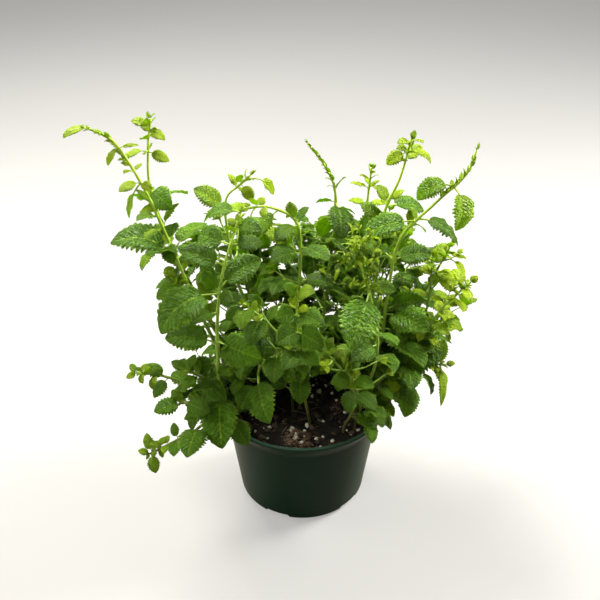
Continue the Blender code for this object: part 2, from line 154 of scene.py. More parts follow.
# Each shoot: the points that its stem passes, in millimetres, the first one on the soil as (x, y),
# then its leaves as (place along the stem from 0 to 1, length, heading, pitch) in millimetres and
# degrees, and where a leaf is not usual its arch, its width and its petiole share.
# Heading 0 is +X and -90 is the front; a pitch below 0 hangs down.
SHOOTS = {
    "front_left": ([(-53, -26), (-65, -34, 115), (-66, -38, 167), (-63, -36, 212),
        (-57, -30, 241), (-45, -16, 274)], [
        (0.23, 50, -85, -20), (0.27, 26, -140, 15), (0.39, 24, 165, -25), (0.48, 40, -175, 10),
        (0.49, 44, -35, 0), (0.61, 26, -135, 5), (0.69, 52, -155, -25, 0.3), (0.70, 20, 165, 55),
        (0.70, 16, -50, -5), (0.71, 38, 20, 30), (0.80, 34, 175, 20), (0.88, 24, 5, 0),
        (0.88, 34, 140, -5), (0.96, 24, -40, 5), (1.00, 28, -170, -10, 0.28),
    ]),
    "left_low": ([(-55, -16), (-74, -28, 128), (-84, -42, 147), (-91, -48, 155)], [
        (0.63, 28, -55, -5), (0.86, 20, -115, 0), (0.94, 16, 80, 25), (0.98, 14, 165, 30),
    ]),
    "left_rim": ([(-47, -13), (-72, -36, 118), (-95, -52, 126)], [
        (0.97, 26, -35, 5), (0.98, 24, -160, -5), (0.98, 14, 150, 40),
    ]),
    "upper_trail": ([(-57, -6), (-74, -14, 106), (-92, -22, 121), (-110, -28, 134),
        (-132, -34, 143)], [
        (0.54, 24, -70, -5), (0.56, 22, 140, 5), (0.75, 20, -135, -35), (0.77, 20, 170, 30),
        (0.97, 9, 40, 35), (0.97, 10, -70, -25), (0.99, 10, -155, -15), (0.99, 10, 140, 20),
    ]),
    "lower_trail": ([(-44, -37), (-68, -52, 112), (-87, -66, 108), (-104, -72, 102),
        (-119, -76, 95)], [
        (0.58, 14, 50, -10), (0.59, 36, -100, 0), (0.77, 18, -95, -5), (0.77, 14, 115, 35),
        (0.93, 15, 70, 5), (0.98, 16, 120, 50), (0.98, 16, -75, -45), (1.00, 10, 180, 20),
    ]),
    "left_arch": ([(-44, 12), (-72, 6, 142), (-97, -6, 231), (-113, -12, 287), (-130, -10, 322),
        (-140, -7, 330), (-154, -2, 334)], [
        (0.56, 36, -120, 30), (0.57, 50, 178, 12, 0.25), (0.56, 34, 60, -10), (0.66, 20, -120, 0),
        (0.70, 20, -130, 10), (0.74, 16, -160, 50, 0.12, 0.35), (0.80, 17, -160, -15),
        (0.80, 12, -40, -10), (0.80, 28, -150, -65, 0.12, 0.5, 0.35), (0.83, 11, -125, 15),
        (0.83, 10, 65, 20), (0.90, 15, -150, -50, 0.2, 0.5), (0.90, 14, 10, 5, 0.1, 0.3),
        (0.93, 6, 160, 50), (0.95, 6, -100, 30),
    ]),
    "left_upright": ([(-30, 26), (-69, 24, 134), (-98, 16, 215), (-114, 10, 277), (-113, 8, 314),
        (-109, 8, 337)], [
        (0.60, 38, 50, 15), (0.68, 22, 40, 45), (0.76, 32, 45, -5), (0.80, 30, -50, -10),
        (0.91, 21, -165, -22, 0.25, 0.5), (0.91, 17, -10, -22, 0.2, 0.6), (0.91, 9, -95, 10),
        (0.91, 8, 60, 40), (0.965, 14, -25, -18, 0.2, 0.8), (0.975, 14, 172, 20, 0.2, 0.7),
    ]),
    "hook": ([(-14, 30), (-52, 32, 180), (-61, 34, 239), (-60, 34, 263), (-50, 33, 274),
        (-40, 34, 283)], [
        (0.80, 26, 45, 0), (0.82, 30, 170, 35), (0.95, 16, -30, -50),
        (0.97, 25, -10, -25, 0.3, 0.9, 0.5), (0.99, 7, 20, 35),
    ]),
    "leaning_top": ([(-2, 6), (-5, 2, 159), (-2, 0, 217), (-4, 0, 257), (-24, 0, 271),
        (-44, -4, 272)], [
        (0.57, 27, -5, -5), (0.68, 32, -135, 10), (0.70, 32, -50, 5), (0.79, 24, -135, -10),
        (0.80, 15, 30, 45), (0.81, 15, 125, 60), (0.88, 24, -170, -55), (0.99, 8, -160, -30),
    ]),
    "middle_lean": ([(-8, -14), (-11, -30, 160), (-25, -36, 189), (-44, -40, 211)], [
        (0.81, 16, 45, 50), (0.86, 30, -105, -10), (0.96, 26, -100, -5), (0.99, 18, -155, -30),
    ]),
    "left_middle": ([(-28, -24), (-35, -36, 145), (-17, -46, 171), (-4, -52, 194)], [
        (0.39, 34, -115, 0), (0.48, 42, -75, -25), (0.76, 30, -95, -10), (0.82, 28, 180, 5),
        (0.96, 11, 50, 50),
    ]),
    "front_curl": ([(6, -34), (-2, -50, 155), (-3, -56, 194), (-5, -54, 231)], [
        (0.50, 26, -90, -30), (0.64, 26, -115, 5), (0.64, 26, -55, 10), (0.77, 32, -120, 15),
        (0.77, 32, -55, 10), (0.86, 30, -125, 25), (0.86, 30, -55, 20), (0.97, 18, -140, 50),
        (0.97, 20, -40, 30),
    ]),
    "nodding": ([(34, -41), (42, -50, 126), (31, -54, 158), (14, -56, 182)], [
        (0.59, 21, -100, -40), (0.74, 18, -105, -20), (0.74, 15, 15, 25), (0.97, 14, -135, 5),
        (0.97, 12, 35, 45),
    ]),
    "thin_front": ([(44, -34), (46, -52, 124), (38, -56, 152), (33, -58, 165)], [
        (0.85, 22, -45, 10), (0.87, 22, -140, 15), (1.00, 13, 120, 50),
    ]),
    "rim_right": ([(55, -20), (63, -27, 111), (61, -30, 128)], [
        (0.59, 17, -120, -35, 0.12, 0.9), (0.59, 19, -45, -20, 0.12, 0.8),
        (0.92, 19, 180, -5, 0.12, 0.8), (0.92, 18, -5, 5),
    ]),
    "curled_top": ([(44, -22), (56, -34, 143), (57, -40, 183), (49, -42, 222), (38, -40, 256)], [
        (0.53, 28, -140, -5), (0.59, 26, -60, 10), (0.80, 50, -110, -25), (0.82, 20, -5, 0),
    ]),
    "right_arch": ([(48, 4), (64, 2, 144), (68, -2, 200), (74, -6, 247), (98, -10, 280),
        (117, -10, 301), (124, -6, 319)], [
        (0.29, 52, -55, 0), (0.30, 27, 165, 15), (0.38, 44, -45, 5), (0.40, 32, 0, 15),
        (0.58, 30, -5, 15), (0.58, 36, 140, 5), (0.61, 18, 10, 55, 0.12, 0.35),
        (0.73, 39, -178, -16), (0.73, 11, 115, 60), (0.74, 36, -25, -25, 0.2),
        (0.88, 28, -175, -20, 0.3), (0.88, 32, -85, -60, 0.25, 0.8),
    ]),
    "right_outer": ([(58, -6), (80, -4, 122), (98, -10, 166), (113, -18, 200)], [
        (0.39, 40, -10, 30), (0.45, 32, -85, -10), (0.72, 21, 135, 40), (0.78, 22, -55, 5),
        (0.86, 15, -10, 5), (0.98, 9, 25, 45),
    ]),
    "right_low": ([(58, 3), (87, -4, 115), (105, -10, 132), (118, -14, 136)], [
        (0.55, 38, -95, -20), (0.73, 26, -75, -15), (0.84, 25, 40, 50), (0.85, 21, -45, -35),
        (0.94, 34, -90, -50, 0.12, 0.3), (0.98, 9, -5, 10),
    ]),
    "right_upright": ([(32, 20), (58, 26, 173), (63, 24, 249), (74, 20, 286), (80, 18, 317)], [
        (0.70, 23, 155, 35), (0.76, 36, 25, -15), (0.77, 17, 140, 50), (0.78, 15, 10, 35),
        (0.96, 18, -172, -30, 0.2), (0.96, 20, -35, -12, 0.25, 0.8), (0.96, 12, -150, 25, 0.2, 0.8),
        (0.96, 12, 15, 15), (0.99, 12, -150, 10, 0.2, 0.8), (0.99, 12, -40, 15, 0.2, 0.8),
        (1.00, 8, 40, 65),
    ]),
    "right_tuft": ([(52, 28), (95, 26, 128), (106, 28, 172), (106, 30, 213)], [
        (0.75, 17, 160, 15), (0.75, 20, 25, -10), (0.85, 12, 5, 25), (0.89, 12, 160, 20),
        (0.98, 8, 35, 55),
    ]),
    "right_bright": ([(56, 14), (97, 8, 140), (118, 12, 177), (136, 14, 198)], [
        (0.81, 18, -160, 30), (0.87, 20, -75, -5), (0.90, 19, 150, 25), (0.95, 16, -85, -10),
        (0.96, 18, 140, 40), (0.99, 9, 15, 40, 0.12, 0.9),
    ]),
    "far_right": ([(34, 48), (98, 70, 136), (123, 84, 174), (133, 90, 194)], [
        (0.60, 36, 60, 5), (0.62, 32, -20, -5), (0.84, 14, 160, 20), (0.92, 15, 160, 15),
        (0.94, 12, -20, -15), (0.99, 8, 15, 45),
    ]),
    "back_spire": ([(12, 34), (22, 46, 181), (27, 52, 253), (18, 52, 282), (4, 50, 302)], [
        (0.70, 30, 140, -60), (0.73, 17, -10, -15), (0.75, 36, -85, -25), (0.75, 16, 180, 0),
        (0.79, 15, 25, 50),
    ]),
    "pale_spire": ([(26, 42), (52, 56, 165), (53, 62, 230), (56, 64, 276)], [
        (0.76, 26, -135, -5), (0.84, 16, 170, 10), (0.84, 16, -5, 5), (0.91, 16, 170, 15),
        (0.91, 11, 10, 35), (0.99, 6, 15, 45),
    ]),
    "back_left": ([(-30, 46), (-44, 68, 142), (-64, 90, 190), (-78, 100, 228)], [
        (0.30, 38, 175, 0), (0.48, 40, 100, 5), (0.50, 36, -150, 10), (0.66, 32, 170, 5),
        (0.67, 30, 10, 0), (0.80, 24, 80, 15), (0.81, 22, -80, 15), (0.90, 16, 180, 25),
        (0.91, 14, 20, 20), (0.98, 8, 100, 50),
    ]),
    "back_middle": ([(4, 54), (6, 80, 142), (2, 98, 182), (-5, 108, 209)], [
        (0.32, 40, 150, -5), (0.33, 36, 20, 5), (0.50, 40, 90, -10), (0.52, 30, -60, 5),
        (0.68, 30, 175, 5), (0.69, 30, 0, 10), (0.82, 22, 95, 15), (0.83, 18, -90, 15),
        (0.92, 14, 0, 25), (0.92, 14, 175, 20), (0.98, 8, 90, 50),
    ]),
    "back_right": ([(42, 40), (62, 68, 134), (82, 90, 172), (98, 100, 200)], [
        (0.35, 36, 120, -10), (0.36, 34, -10, 0), (0.55, 36, 65, -5), (0.56, 28, -160, 10),
        (0.72, 26, 130, 5), (0.73, 26, -30, 0), (0.86, 18, 50, 20), (0.86, 16, -130, 20),
        (0.96, 10, 100, 30),
    ]),
    "back_low": ([(-48, 34), (-76, 62, 120), (-102, 84, 138), (-122, 92, 136)], [
        (0.40, 36, -170, 0), (0.42, 32, 80, 0), (0.65, 30, 120, 5), (0.66, 28, -130, -10),
        (0.85, 18, 90, 0), (0.86, 16, -150, 0), (0.98, 12, 160, -10),
    ]),
}

# How far up its stem each shoot is filled with leaves by rule, from 0 to 1
FILLED_TO = {
    "left_arch": 0.69, "left_upright": 0.75, "hook": 0.76, "leaning_top": 0.96, "back_spire": 0.8,
    "pale_spire": 0.74, "right_upright": 0.66, "right_arch": 0.4, "curled_top": 0.5,
    "upper_trail": 0.6, "lower_trail": 0.5, "rim_right": 0.3, "front_left": 0.3,
}
USUALLY_FILLED_TO = 0.93
# How young and bright each shoot's leaves are, partly from their age and partly painted light where
# light shines through them: 0 is old and dark, and 1 or more is yellow-green
YOUTH_AND_LIGHT = {
    "right_bright": 1.4, "right_tuft": 1.2, "far_right": 1.1, "right_arch": 0.6, "curled_top": 0.4,
    "left_arch": 0.75, "left_upright": 0.9, "hook": 0.8, "pale_spire": 0.8, "right_upright": 0.9,
    "front_curl": 0.3, "leaning_top": 0.35, "rim_right": 1.6, "right_low": 1.1, "right_outer": 0.9,
    "thin_front": 0.5, "upper_trail": 0.6, "lower_trail": 0.5, "nodding": 0.3,
}
USUAL_YOUTH = 0.12
USUAL_TIP_YOUTH = 0.1
# Shoots whose side shoots are longer and close the gaps in the middle of the bush
LONG_SPRIGS = ("back_left", "back_middle", "back_right", "hook", "back_spire", "pale_spire")
# How many side shoots a shoot has, where it is not the usual number
SPRIG_DENSITY = {
    "back_left": 2.1, "back_middle": 2.3, "back_right": 2.1, "hook": 1.8, "back_spire": 2.4,
    "pale_spire": 2.2, "left_arch": 0.5, "left_upright": 0.55, "front_left": 0.8,
}
# Low and high corner of the space over the front of the soil that no added leaf reaches into,
# and of the space that they all stay in
CLEARINGS = (
    ((-24, -90, 90), (38, -8, 152)),
    ((-46, -70, 100), (-14, -6, 160)),
    ((34, -64, 120), (56, -10, 150)),
)
OUTER_LIMITS = ((-164, -104, 60), (147, 126, 348))
# From the front, no added leaf covers a told one of this length or these stretches of stem
VIEWED_FROM = (0, -0.57, 0.54)
SHOWN_FROM = 17 * MM
SIGHT_STEP = 6 * MM
STEM_SIGHT = 4 * MM
TUFT_SIGHT = 17 * MM
SHOWN_STEMS = {
    "front_left": (0.15, 0.95), "left_arch": (0.76, 1), "left_upright": (0.84, 1),
    "leaning_top": (0.55, 1), "curled_top": (0.25, 0.8), "right_arch": (0.25, 1),
    "right_upright": (0.7, 1), "hook": (0.75, 1), "lower_trail": (0.4, 1), "upper_trail": (0.4, 1),
    "nodding": (0.2, 0.9), "rim_right": (0.3, 1), "thin_front": (0.4, 1), "left_middle": (0.4, 0.9),
}
# The bush's top slants down to the back; only the leaves of these shoots stand over it
CEILING = 264 * MM
CEILING_SLOPE = 0.47
TALL = ("left_arch", "left_upright", "right_upright", "right_arch")
# Tips that end in a closed spike, the one of them with two closed leaves at its end, and the one that
# ends in a tuft of narrow curled leaves
SPIKES = ("back_spire", "right_arch", "left_arch")
CLOSED_TIP = "left_arch"
TUFTED = "curled_top"

POT_GREEN = (0.0022, 0.0125, 0.0058, 1)
POT_DUST = (0.014, 0.028, 0.014, 1)
# Paler green painted along the top of the pot's rim: a painted highlight
POT_RIM_HIGHLIGHT = (0.040, 0.085, 0.055, 1)
SOIL_DARK = (0.0030, 0.0022, 0.0015, 1)
SOIL_BROWN = (0.020, 0.012, 0.0065, 1)
PERLITE_WHITE = (0.66, 0.63, 0.53, 1)
PERLITE_SHADE = (0.27, 0.23, 0.16, 1)
BARK_BROWN = (0.060, 0.030, 0.014, 1)
FIBRE_TAN = (0.19, 0.125, 0.065, 1)
STEM_PALE = (0.19, 0.31, 0.030, 1)
STEM_OLD = (0.075, 0.070, 0.018, 1)
LEAF_OLD = (0.026, 0.094, 0.0010, 1)
LEAF_GROWN = (0.072, 0.198, 0.002, 1)
LEAF_YOUNG = (0.47, 0.63, 0.008, 1)
LEAF_VEIN = (0.36, 0.54, 0.050, 1)
LEAF_GLOW = (0.50, 0.78, 0.008, 1)
LEAF_LIGHT_THROUGH = 0.42
STEM_LIGHT_THROUGH = 0.15
# The soil and what lies on it: dark and pale colour, scales of the coarse and the fine mottling, where
# in it the colour turns, strength and depth of its bumps, roughness, and gloss
SOIL_LOOKS = {
    "soil": ((SOIL_DARK, SOIL_BROWN), (140, 900), (0.44, 0.66), (1, 2.5 * MM), 0.92, 0.25),
    "perlite": ((PERLITE_SHADE, PERLITE_WHITE), (350, 1800), (0.4, 0.62), (0.7, 0.6 * MM), 0.85, 0.5),
    "bark": ((SOIL_BROWN, BARK_BROWN), (350, 1800), (0.4, 0.62), (0.7, 0.6 * MM), 0.8, 0.5),
    "fibre": ((BARK_BROWN, FIBRE_TAN), (350, 1800), (0.4, 0.62), (0.7, 0.6 * MM), 0.75, 0.5),
}
# The floor darkens from near the pot to far behind it: painted shade against the strong light of the
# lamp behind
FLOOR_NEAR = (0.31, 0.305, 0.295, 1)
FLOOR_FAR_PAINTED_SHADE = (0.19, 0.188, 0.184, 1)
FLOOR_UNSEEN = (0.22, 0.20, 0.17, 1)
FLOOR_BRIGHT = (0.62, 0.61, 0.595, 1)
FLOOR_BRIGHT_SHARE = 0.55
ROOM_COLOUR = (1.0, 0.99, 0.93, 1)
ROOM_LIGHT = 0.205
ROOM_SEEN = 0.53

# Each lamp: its place, the height of the point that it faces over the pot's middle, its size, its
# power and its colour
LAMPS = {
    "window_behind": ((-0.45, 0.85, 1.25), 0.2, 0.6, 88, (1.0, 0.975, 0.89)),
    "window_right": ((1.1, 0.45, 0.9), 0.2, 0.5, 80, (1.0, 0.98, 0.93)),
    "wall_left": ((-1.2, 0.1, 0.8), 0.2, 0.8, 24, (1.0, 0.98, 0.95)),
    "room_fill": ((-0.6, -1.1, 1.3), 0.18, 0.9, 18, (1.0, 0.985, 0.90)),
}
CAMERA_ELEVATION = math.radians(31.7)
CAMERA_DISTANCE = 0.667
CAMERA_TARGET = (-0.002, 0, 0.1895)


# Small helpers for meshes


def deselect_all():
    for thing in bpy.context.selected_objects:
        thing.select_set(False)


def pick(thing):
    deselect_all()
    bpy.context.view_layer.objects.active = thing
    thing.select_set(True)


def mode(kind, action=None):
    """Edit or object mode, with all or none of the mesh selected."""
    bpy.ops.object.mode_set(mode=kind)
    if action:
        bpy.ops.mesh.select_all(action=action)


def add_object(name, data):
    thing = bpy.data.objects.new(name, data)
    bpy.context.scene.collection.objects.link(thing)
    return thing


def apply_modifier(thing, kind, **settings):
    modifier = thing.modifiers.new(kind.title(), kind)
    for name, value in settings.items():
        setattr(modifier, name, value)
    pick(thing)
    bpy.ops.object.modifier_apply(modifier=modifier.name)


def join(things, name):
    deselect_all()
    for thing in things:
        thing.select_set(True)
    bpy.context.view_layer.objects.active = things[0]
    bpy.ops.object.join()
    things[0].name = name
    return things[0]


def read_points(mesh):
    flat = np.empty(len(mesh.vertices) * 3)
    mesh.vertices.foreach_get("co", flat)
    return flat.reshape(-1, 3)


def write_points(mesh, points):
    mesh.vertices.foreach_set("co", np.asarray(points).ravel())
    mesh.update()


def set_tone(mesh, values):
    """A value for each vertex that the leaf and stem materials read."""
    tone = mesh.attributes.new("tone", "FLOAT", "POINT")
    tone.data.foreach_set("value", np.broadcast_to(values, len(mesh.vertices)).astype(float))


def dress(thing, nodes, material):
    """Gives a finished piece its material and its body, and hides the CAD nodes it stands for."""
    thing.data.materials.clear()
    thing.data.materials.append(material)
    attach(thing, "root")
    if nodes:
        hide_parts(*nodes)


# Small helpers for materials


def feed(tree, made, inputs):
    """Sets each named input of a node to a value, or links it to a socket."""
    for name, value in inputs.items():
        if isinstance(value, bpy.types.NodeSocket):
            tree.links.new(value, made.inputs[name])
        else:
            made.inputs[name].default_value = value


def node(tree, kind, inputs=None, **settings):
    made = tree.nodes.new(kind)
    for name, value in settings.items():
        setattr(made, name, value)
    feed(tree, made, inputs or {})
    return made


def math_node(tree, operation, first, second=0.0, clamp=False):
    inputs = {0: first, 1: second}
    return node(tree, "ShaderNodeMath", inputs, operation=operation, use_clamp=clamp).outputs[0]


def times(tree, first, second, clamp=False):
    return math_node(tree, "MULTIPLY", first, second, clamp)


def plus(tree, first, second, clamp=False):
    return math_node(tree, "ADD", first, second, clamp)


def minus(tree, first, second):
    return math_node(tree, "SUBTRACT", first, second)


def mix(tree, share, first, second):
    inputs = {0: share, 6: first, 7: second}
    return node(tree, "ShaderNodeMix", inputs, data_type="RGBA").outputs[2]


def ramp(tree, value, low, high):
    """0 below low, 1 above high, and a smooth step between."""
    inputs = {"Value": value, "From Min": low, "From Max": high}
    made = node(tree, "ShaderNodeMapRange", inputs, interpolation_type="SMOOTHSTEP")
    return made.outputs["Result"]


def noise_node(tree, place, scale, detail=3.0, roughness=0.5):
    inputs = {"Vector": place, "Scale": scale, "Detail": detail, "Roughness": roughness}
    return node(tree, "ShaderNodeTexNoise", inputs).outputs["Fac"]


def object_place(tree):
    return node(tree, "ShaderNodeTexCoord").outputs["Object"]


def object_axis(tree, axis):
    return node(tree, "ShaderNodeSeparateXYZ", {"Vector": object_place(tree)}).outputs[axis]


def tone_value(tree):
    return node(tree, "ShaderNodeAttribute", attribute_name="tone").outputs["Fac"]


def bump(tree, height, strength, distance):
    inputs = {"Height": height, "Strength": strength, "Distance": distance}
    return node(tree, "ShaderNodeBump", inputs).outputs["Normal"]


def new_material(name):
    """A material, its node tree and its Principled shader."""
    material = bpy.data.materials.new(name)
    material.use_nodes = True
    return material, material.node_tree, material.node_tree.nodes["Principled BSDF"]


def finish(tree, shader, colour, normal, roughness, gloss=0.5):
    feed(tree, shader, {
        "Base Color": colour, "Normal": normal, "Roughness": roughness, "Specular IOR Level": gloss,
    })


def add_shader(tree, share, shader, other):
    """Puts the mix of two shaders on the surface, with this share of the other."""
    both = node(tree, "ShaderNodeMixShader", {0: share, 1: shader.outputs[0], 2: other.outputs[0]})
    tree.links.new(both.outputs[0], tree.nodes["Material Output"].inputs["Surface"])


def let_light_through(tree, shader, colour, share):
    add_shader(tree, share, shader, node(tree, "ShaderNodeBsdfTranslucent", {"Color": colour}))


# Materials


def mottle_group():
    """Fine mottling over an object: a value round 0.5 made of a coarse and a fine noise."""
    group = bpy.data.node_groups.new("mottle", "ShaderNodeTree")
    for name, kind in (("Place", "Vector"), ("Coarse", "Float"), ("Fine", "Float")):
        group.interface.new_socket(name, in_out="INPUT", socket_type=f"NodeSocket{kind}")
    group.interface.new_socket("Value", in_out="OUTPUT", socket_type="NodeSocketFloat")
    given, out = group.nodes.new("NodeGroupInput").outputs, group.nodes.new("NodeGroupOutput")
    coarse = noise_node(group, given["Place"], given["Coarse"], 2.0)
    fine = noise_node(group, given["Place"], given["Fine"], 4.0, 0.6)
    feed(group, out, {"Value": times(group, plus(group, coarse, fine), 0.5)})
    return group


def mottle(tree, group, coarse, fine):
    inputs = {"Place": object_place(tree), "Coarse": coarse, "Fine": fine}
    return node(tree, "ShaderNodeGroup", inputs, node_tree=group).outputs["Value"]


def vein_group():
    """Veins of a leaf from its own map: U runs along the blade, V across it round the midrib."""
    group = bpy.data.node_groups.new("leaf_veins", "ShaderNodeTree")
    for name in ("Veins", "Height", "EdgeHighlight"):
        group.interface.new_socket(name, in_out="OUTPUT", socket_type="NodeSocketFloat")
    place = node(group, "ShaderNodeUVMap", uv_map="UVMap").outputs["UV"]
    split = node(group, "ShaderNodeSeparateXYZ", {"Vector": place}).outputs
    centred = minus(group, split["Y"], 0.5)
    across = times(group, math_node(group, "ABSOLUTE", centred), 2.0)
    # Side veins leave the midrib at a slant and curve towards the tip
    slant = times(group, math_node(group, "POWER", across, 0.85), VEIN_SLANT)
    run = minus(group, times(group, split["X"], VEIN_PAIRS + 2.0), slant)
    run = plus(group, run, times(group, noise_node(group, place, 7.0), 0.9))
    nearest = math_node(group, "ABSOLUTE", minus(group, run, math_node(group, "ROUND", run)))
    side = minus(group, 1.0, ramp(group, nearest, 0.02, 0.12))
    side = times(group, side, minus(group, 1.0, ramp(group, across, 0.6, 1.0)))
    midrib = minus(group, 1.0, ramp(group, across, 0.02, 0.085))
    veins = math_node(group, "MAXIMUM", side, midrib)
    # A fine net between the side veins
    net_place = node(group, "ShaderNodeMapping", {"Vector": place, "Scale": (14.0, 9.0, 1.0)})
    cells = node(group, "ShaderNodeTexVoronoi", {"Vector": net_place.outputs[0], "Scale": 1.0},
                 feature="DISTANCE_TO_EDGE")
    net = ramp(group, cells.outputs["Distance"], 0.0, 0.24)
    quilt = times(group, ramp(group, nearest, 0.0, 0.5), 0.4)
    height = plus(group, quilt, times(group, net, 0.9))
    fine = times(group, minus(group, 1.0, net), 0.3)
    feed(group, group.nodes.new("NodeGroupOutput"), {
        "Veins": math_node(group, "MAXIMUM", veins, fine),
        "Height": minus(group, height, times(group, veins, 0.5)),
        # The margin, where a painted highlight stands for the light from behind catching the teeth
        "EdgeHighlight": ramp(group, across, 0.82, 1.0),
    })
    return group


def leaf_green(tree, mottling):
    """Leaf green from old to young by the leaf's tone, which also holds painted light and shade,
    uneven over the blade.
    """
    uneven = times(tree, minus(tree, mottling, 0.5), 0.55)
    tone = plus(tree, tone_value(tree), uneven, clamp=True)
    grown = mix(tree, ramp(tree, tone, 0.0, 0.4), LEAF_OLD, LEAF_GROWN)
    return mix(tree, ramp(tree, tone, 0.28, 0.85), grown, LEAF_YOUNG)


def leaf_material(groups):
    """Crinkled green with pale veins and a painted highlight along its edge; it glows with the light
    behind it.
    """
    material, tree, shader = new_material("leaf_blade")
    veins = node(tree, "ShaderNodeGroup", node_tree=groups["veins"]).outputs
    spots = mottle(tree, groups["mottle"], 45.0, 420.0)
    green = leaf_green(tree, spots)
    pale = mix(tree, 0.62, green, LEAF_VEIN)
    colour = mix(tree, times(tree, veins["Veins"], 0.8), green, pale)
    # Painted highlight: a pale band along the blade's margin
    colour = mix(tree, times(tree, veins["EdgeHighlight"], 0.4), colour, LEAF_VEIN)
    roughness = plus(tree, times(tree, spots, 0.25), 0.33)
    finish(tree, shader, colour, bump(tree, veins["Height"], 1.0, 0.0019), roughness, 0.17)
    let_light_through(tree, shader, mix(tree, 0.55, colour, LEAF_GLOW), LEAF_LIGHT_THROUGH)
    return material


def stem_material(groups):
    """Pale green, browner and darker near the soil, and yellow-green where the stem is young."""
    material, tree, shader = new_material("stem_green")
    spots = mottle(tree, groups["mottle"], 60.0, 700.0)
    wander = times(tree, minus(tree, spots, 0.5), 0.12)
    low = plus(tree, object_axis(tree, "Z"), wander)
    colour = mix(tree, ramp(tree, low, SOIL_TOP, 0.17), STEM_OLD, STEM_PALE)
    colour = mix(tree, times(tree, tone_value(tree), 0.6, clamp=True), colour, LEAF_YOUNG)
    finish(tree, shader, colour, bump(tree, spots, 0.5, 0.0004), 0.5, 0.35)
    let_light_through(tree, shader, mix(tree, 0.5, colour, LEAF_GLOW), STEM_LIGHT_THROUGH)
    return material


def pot_material(groups):
    """Satin dark green plastic with faint mottling, a little dust in its pores and a painted highlight
    along the top of its rim.
    """
    material, tree, shader = new_material("pot_plastic")
    spots = mottle(tree, groups["mottle"], 30.0, 900.0)
    dust = times(tree, ramp(tree, spots, 0.52, 0.72), 0.22)
    # Painted highlight: paler green over the top 1.6 mm of the rim, where the light catches it
    rim_highlight = times(tree, ramp(tree, object_axis(tree, "Z"), POT_HEIGHT - 1.6 * MM, POT_HEIGHT), 0.5)
    green = mix(tree, dust, mix(tree, rim_highlight, POT_GREEN, POT_RIM_HIGHLIGHT), POT_DUST)
    roughness = plus(tree, times(tree, spots, 0.22), 0.26)
    finish(tree, shader, green, bump(tree, spots, 0.12, 0.0003), roughness, 0.07)
    return material


def two_tone_material(name, groups, colours, scales, spread, bumps, roughness, gloss):
    """A dark and a pale tone by coarse and fine mottling, for the soil and what lies on it."""
    material, tree, shader = new_material(name)
    spots = mottle(tree, groups["mottle"], *scales)
    colour = mix(tree, ramp(tree, spots, *spread), *colours)
    finish(tree, shader, colour, bump(tree, spots, *bumps), roughness, gloss)
    return material


# The pot


def arc(centre, radius, start, end, count):
    angles = [math.radians(start + (end - start) * i / count) for i in range(count + 1)]
    return [(centre[0] + radius * math.cos(a), centre[1] + radius * math.sin(a)) for a in angles]


def wall_radius(height):
    top = POT_HEIGHT - COLLAR_HEIGHT
    return FOOT_RADIUS + (COLLAR_FOOT_RADIUS - COLLAR_STEP - FOOT_RADIUS) * height / top


def pot_profile():
    """The pot's section from the middle of its inner floor, over the lip and down to the foot."""
    collar_foot = POT_HEIGHT - COLLAR_HEIGHT
    lip_foot = POT_HEIGHT - LIP_HEIGHT
    collar_top = RIM_RADIUS - LIP_OVERHANG
    middle = (wall_radius(FOOT_ROUNDING) - FOOT_ROUNDING, FOOT_ROUNDING)
    lip = (RIM_RADIUS - LIP_HEIGHT / 2, POT_HEIGHT - LIP_HEIGHT / 2)
    flare = [
        (COLLAR_FOOT_RADIUS + (collar_top - COLLAR_FOOT_RADIUS) * share**1.35,
         collar_foot + (lip_foot - collar_foot) * share)
        for share in (0, 0.12, 0.3, 0.5, 0.7, 0.88, 1)
    ]
    last = len(flare) - 1
    inside = [(radius - WALL, height + COLLAR_STEP * (1 - i / last))
              for i, (radius, height) in enumerate(flare)]
    step = (wall_radius(collar_foot) + COLLAR_STEP / 2, collar_foot - COLLAR_STEP / 4)
    return [
        (0, WALL),
        *arc(middle, FOOT_ROUNDING - WALL, -90, 0, 6),
        (wall_radius(collar_foot) - WALL, collar_foot - COLLAR_STEP),
        *inside,
        *arc(lip, LIP_HEIGHT / 2, 160, -70, 14),
        *reversed(flare),
        *arc(step, COLLAR_STEP / 2, 20, -90, 4),
        (wall_radius(collar_foot) - COLLAR_STEP / 4, collar_foot - COLLAR_STEP),
        *arc(middle, FOOT_ROUNDING, 0, -90, 10),
        (0, 0),
    ]


def make_pot(materials):
    """The pot is turned from its section, then its drainage notches are cut."""
    mesh = bpy.data.meshes.new("pot_shell")
    points = [(radius, 0, height) for radius, height in pot_profile()]
    mesh.from_pydata(points, [(i, i + 1) for i in range(len(points) - 1)], [])
    pot = add_object("pot_shell", mesh)
    apply_modifier(pot, "SCREW", steps=POT_STEPS, render_steps=POT_STEPS,
                   use_merge_vertices=True, merge_threshold=0.05 * MM)
    for number in range(NOTCHES):
        angle = math.radians(FIRST_NOTCH_DEG + 360 / NOTCHES * number)
        place = (FOOT_RADIUS * math.cos(angle), FOOT_RADIUS * math.sin(angle), 0)
        deselect_all()
        turned = (0, 0, angle)
        bpy.ops.mesh.primitive_cube_add(size=1, location=place, rotation=turned, scale=NOTCH_SIZE)
        cutter = bpy.context.object
        bpy.ops.object.transform_apply(location=True, rotation=True, scale=True)
        apply_modifier(cutter, "BEVEL", width=NOTCH_ROUNDING, segments=3)
        apply_modifier(pot, "BOOLEAN", operation="DIFFERENCE", object=cutter)
        bpy.data.objects.remove(cutter)
    bpy.ops.object.shade_smooth_by_angle(angle=math.radians(35))
    dress(pot, ["pot"], materials["pot"])


# The potting mix


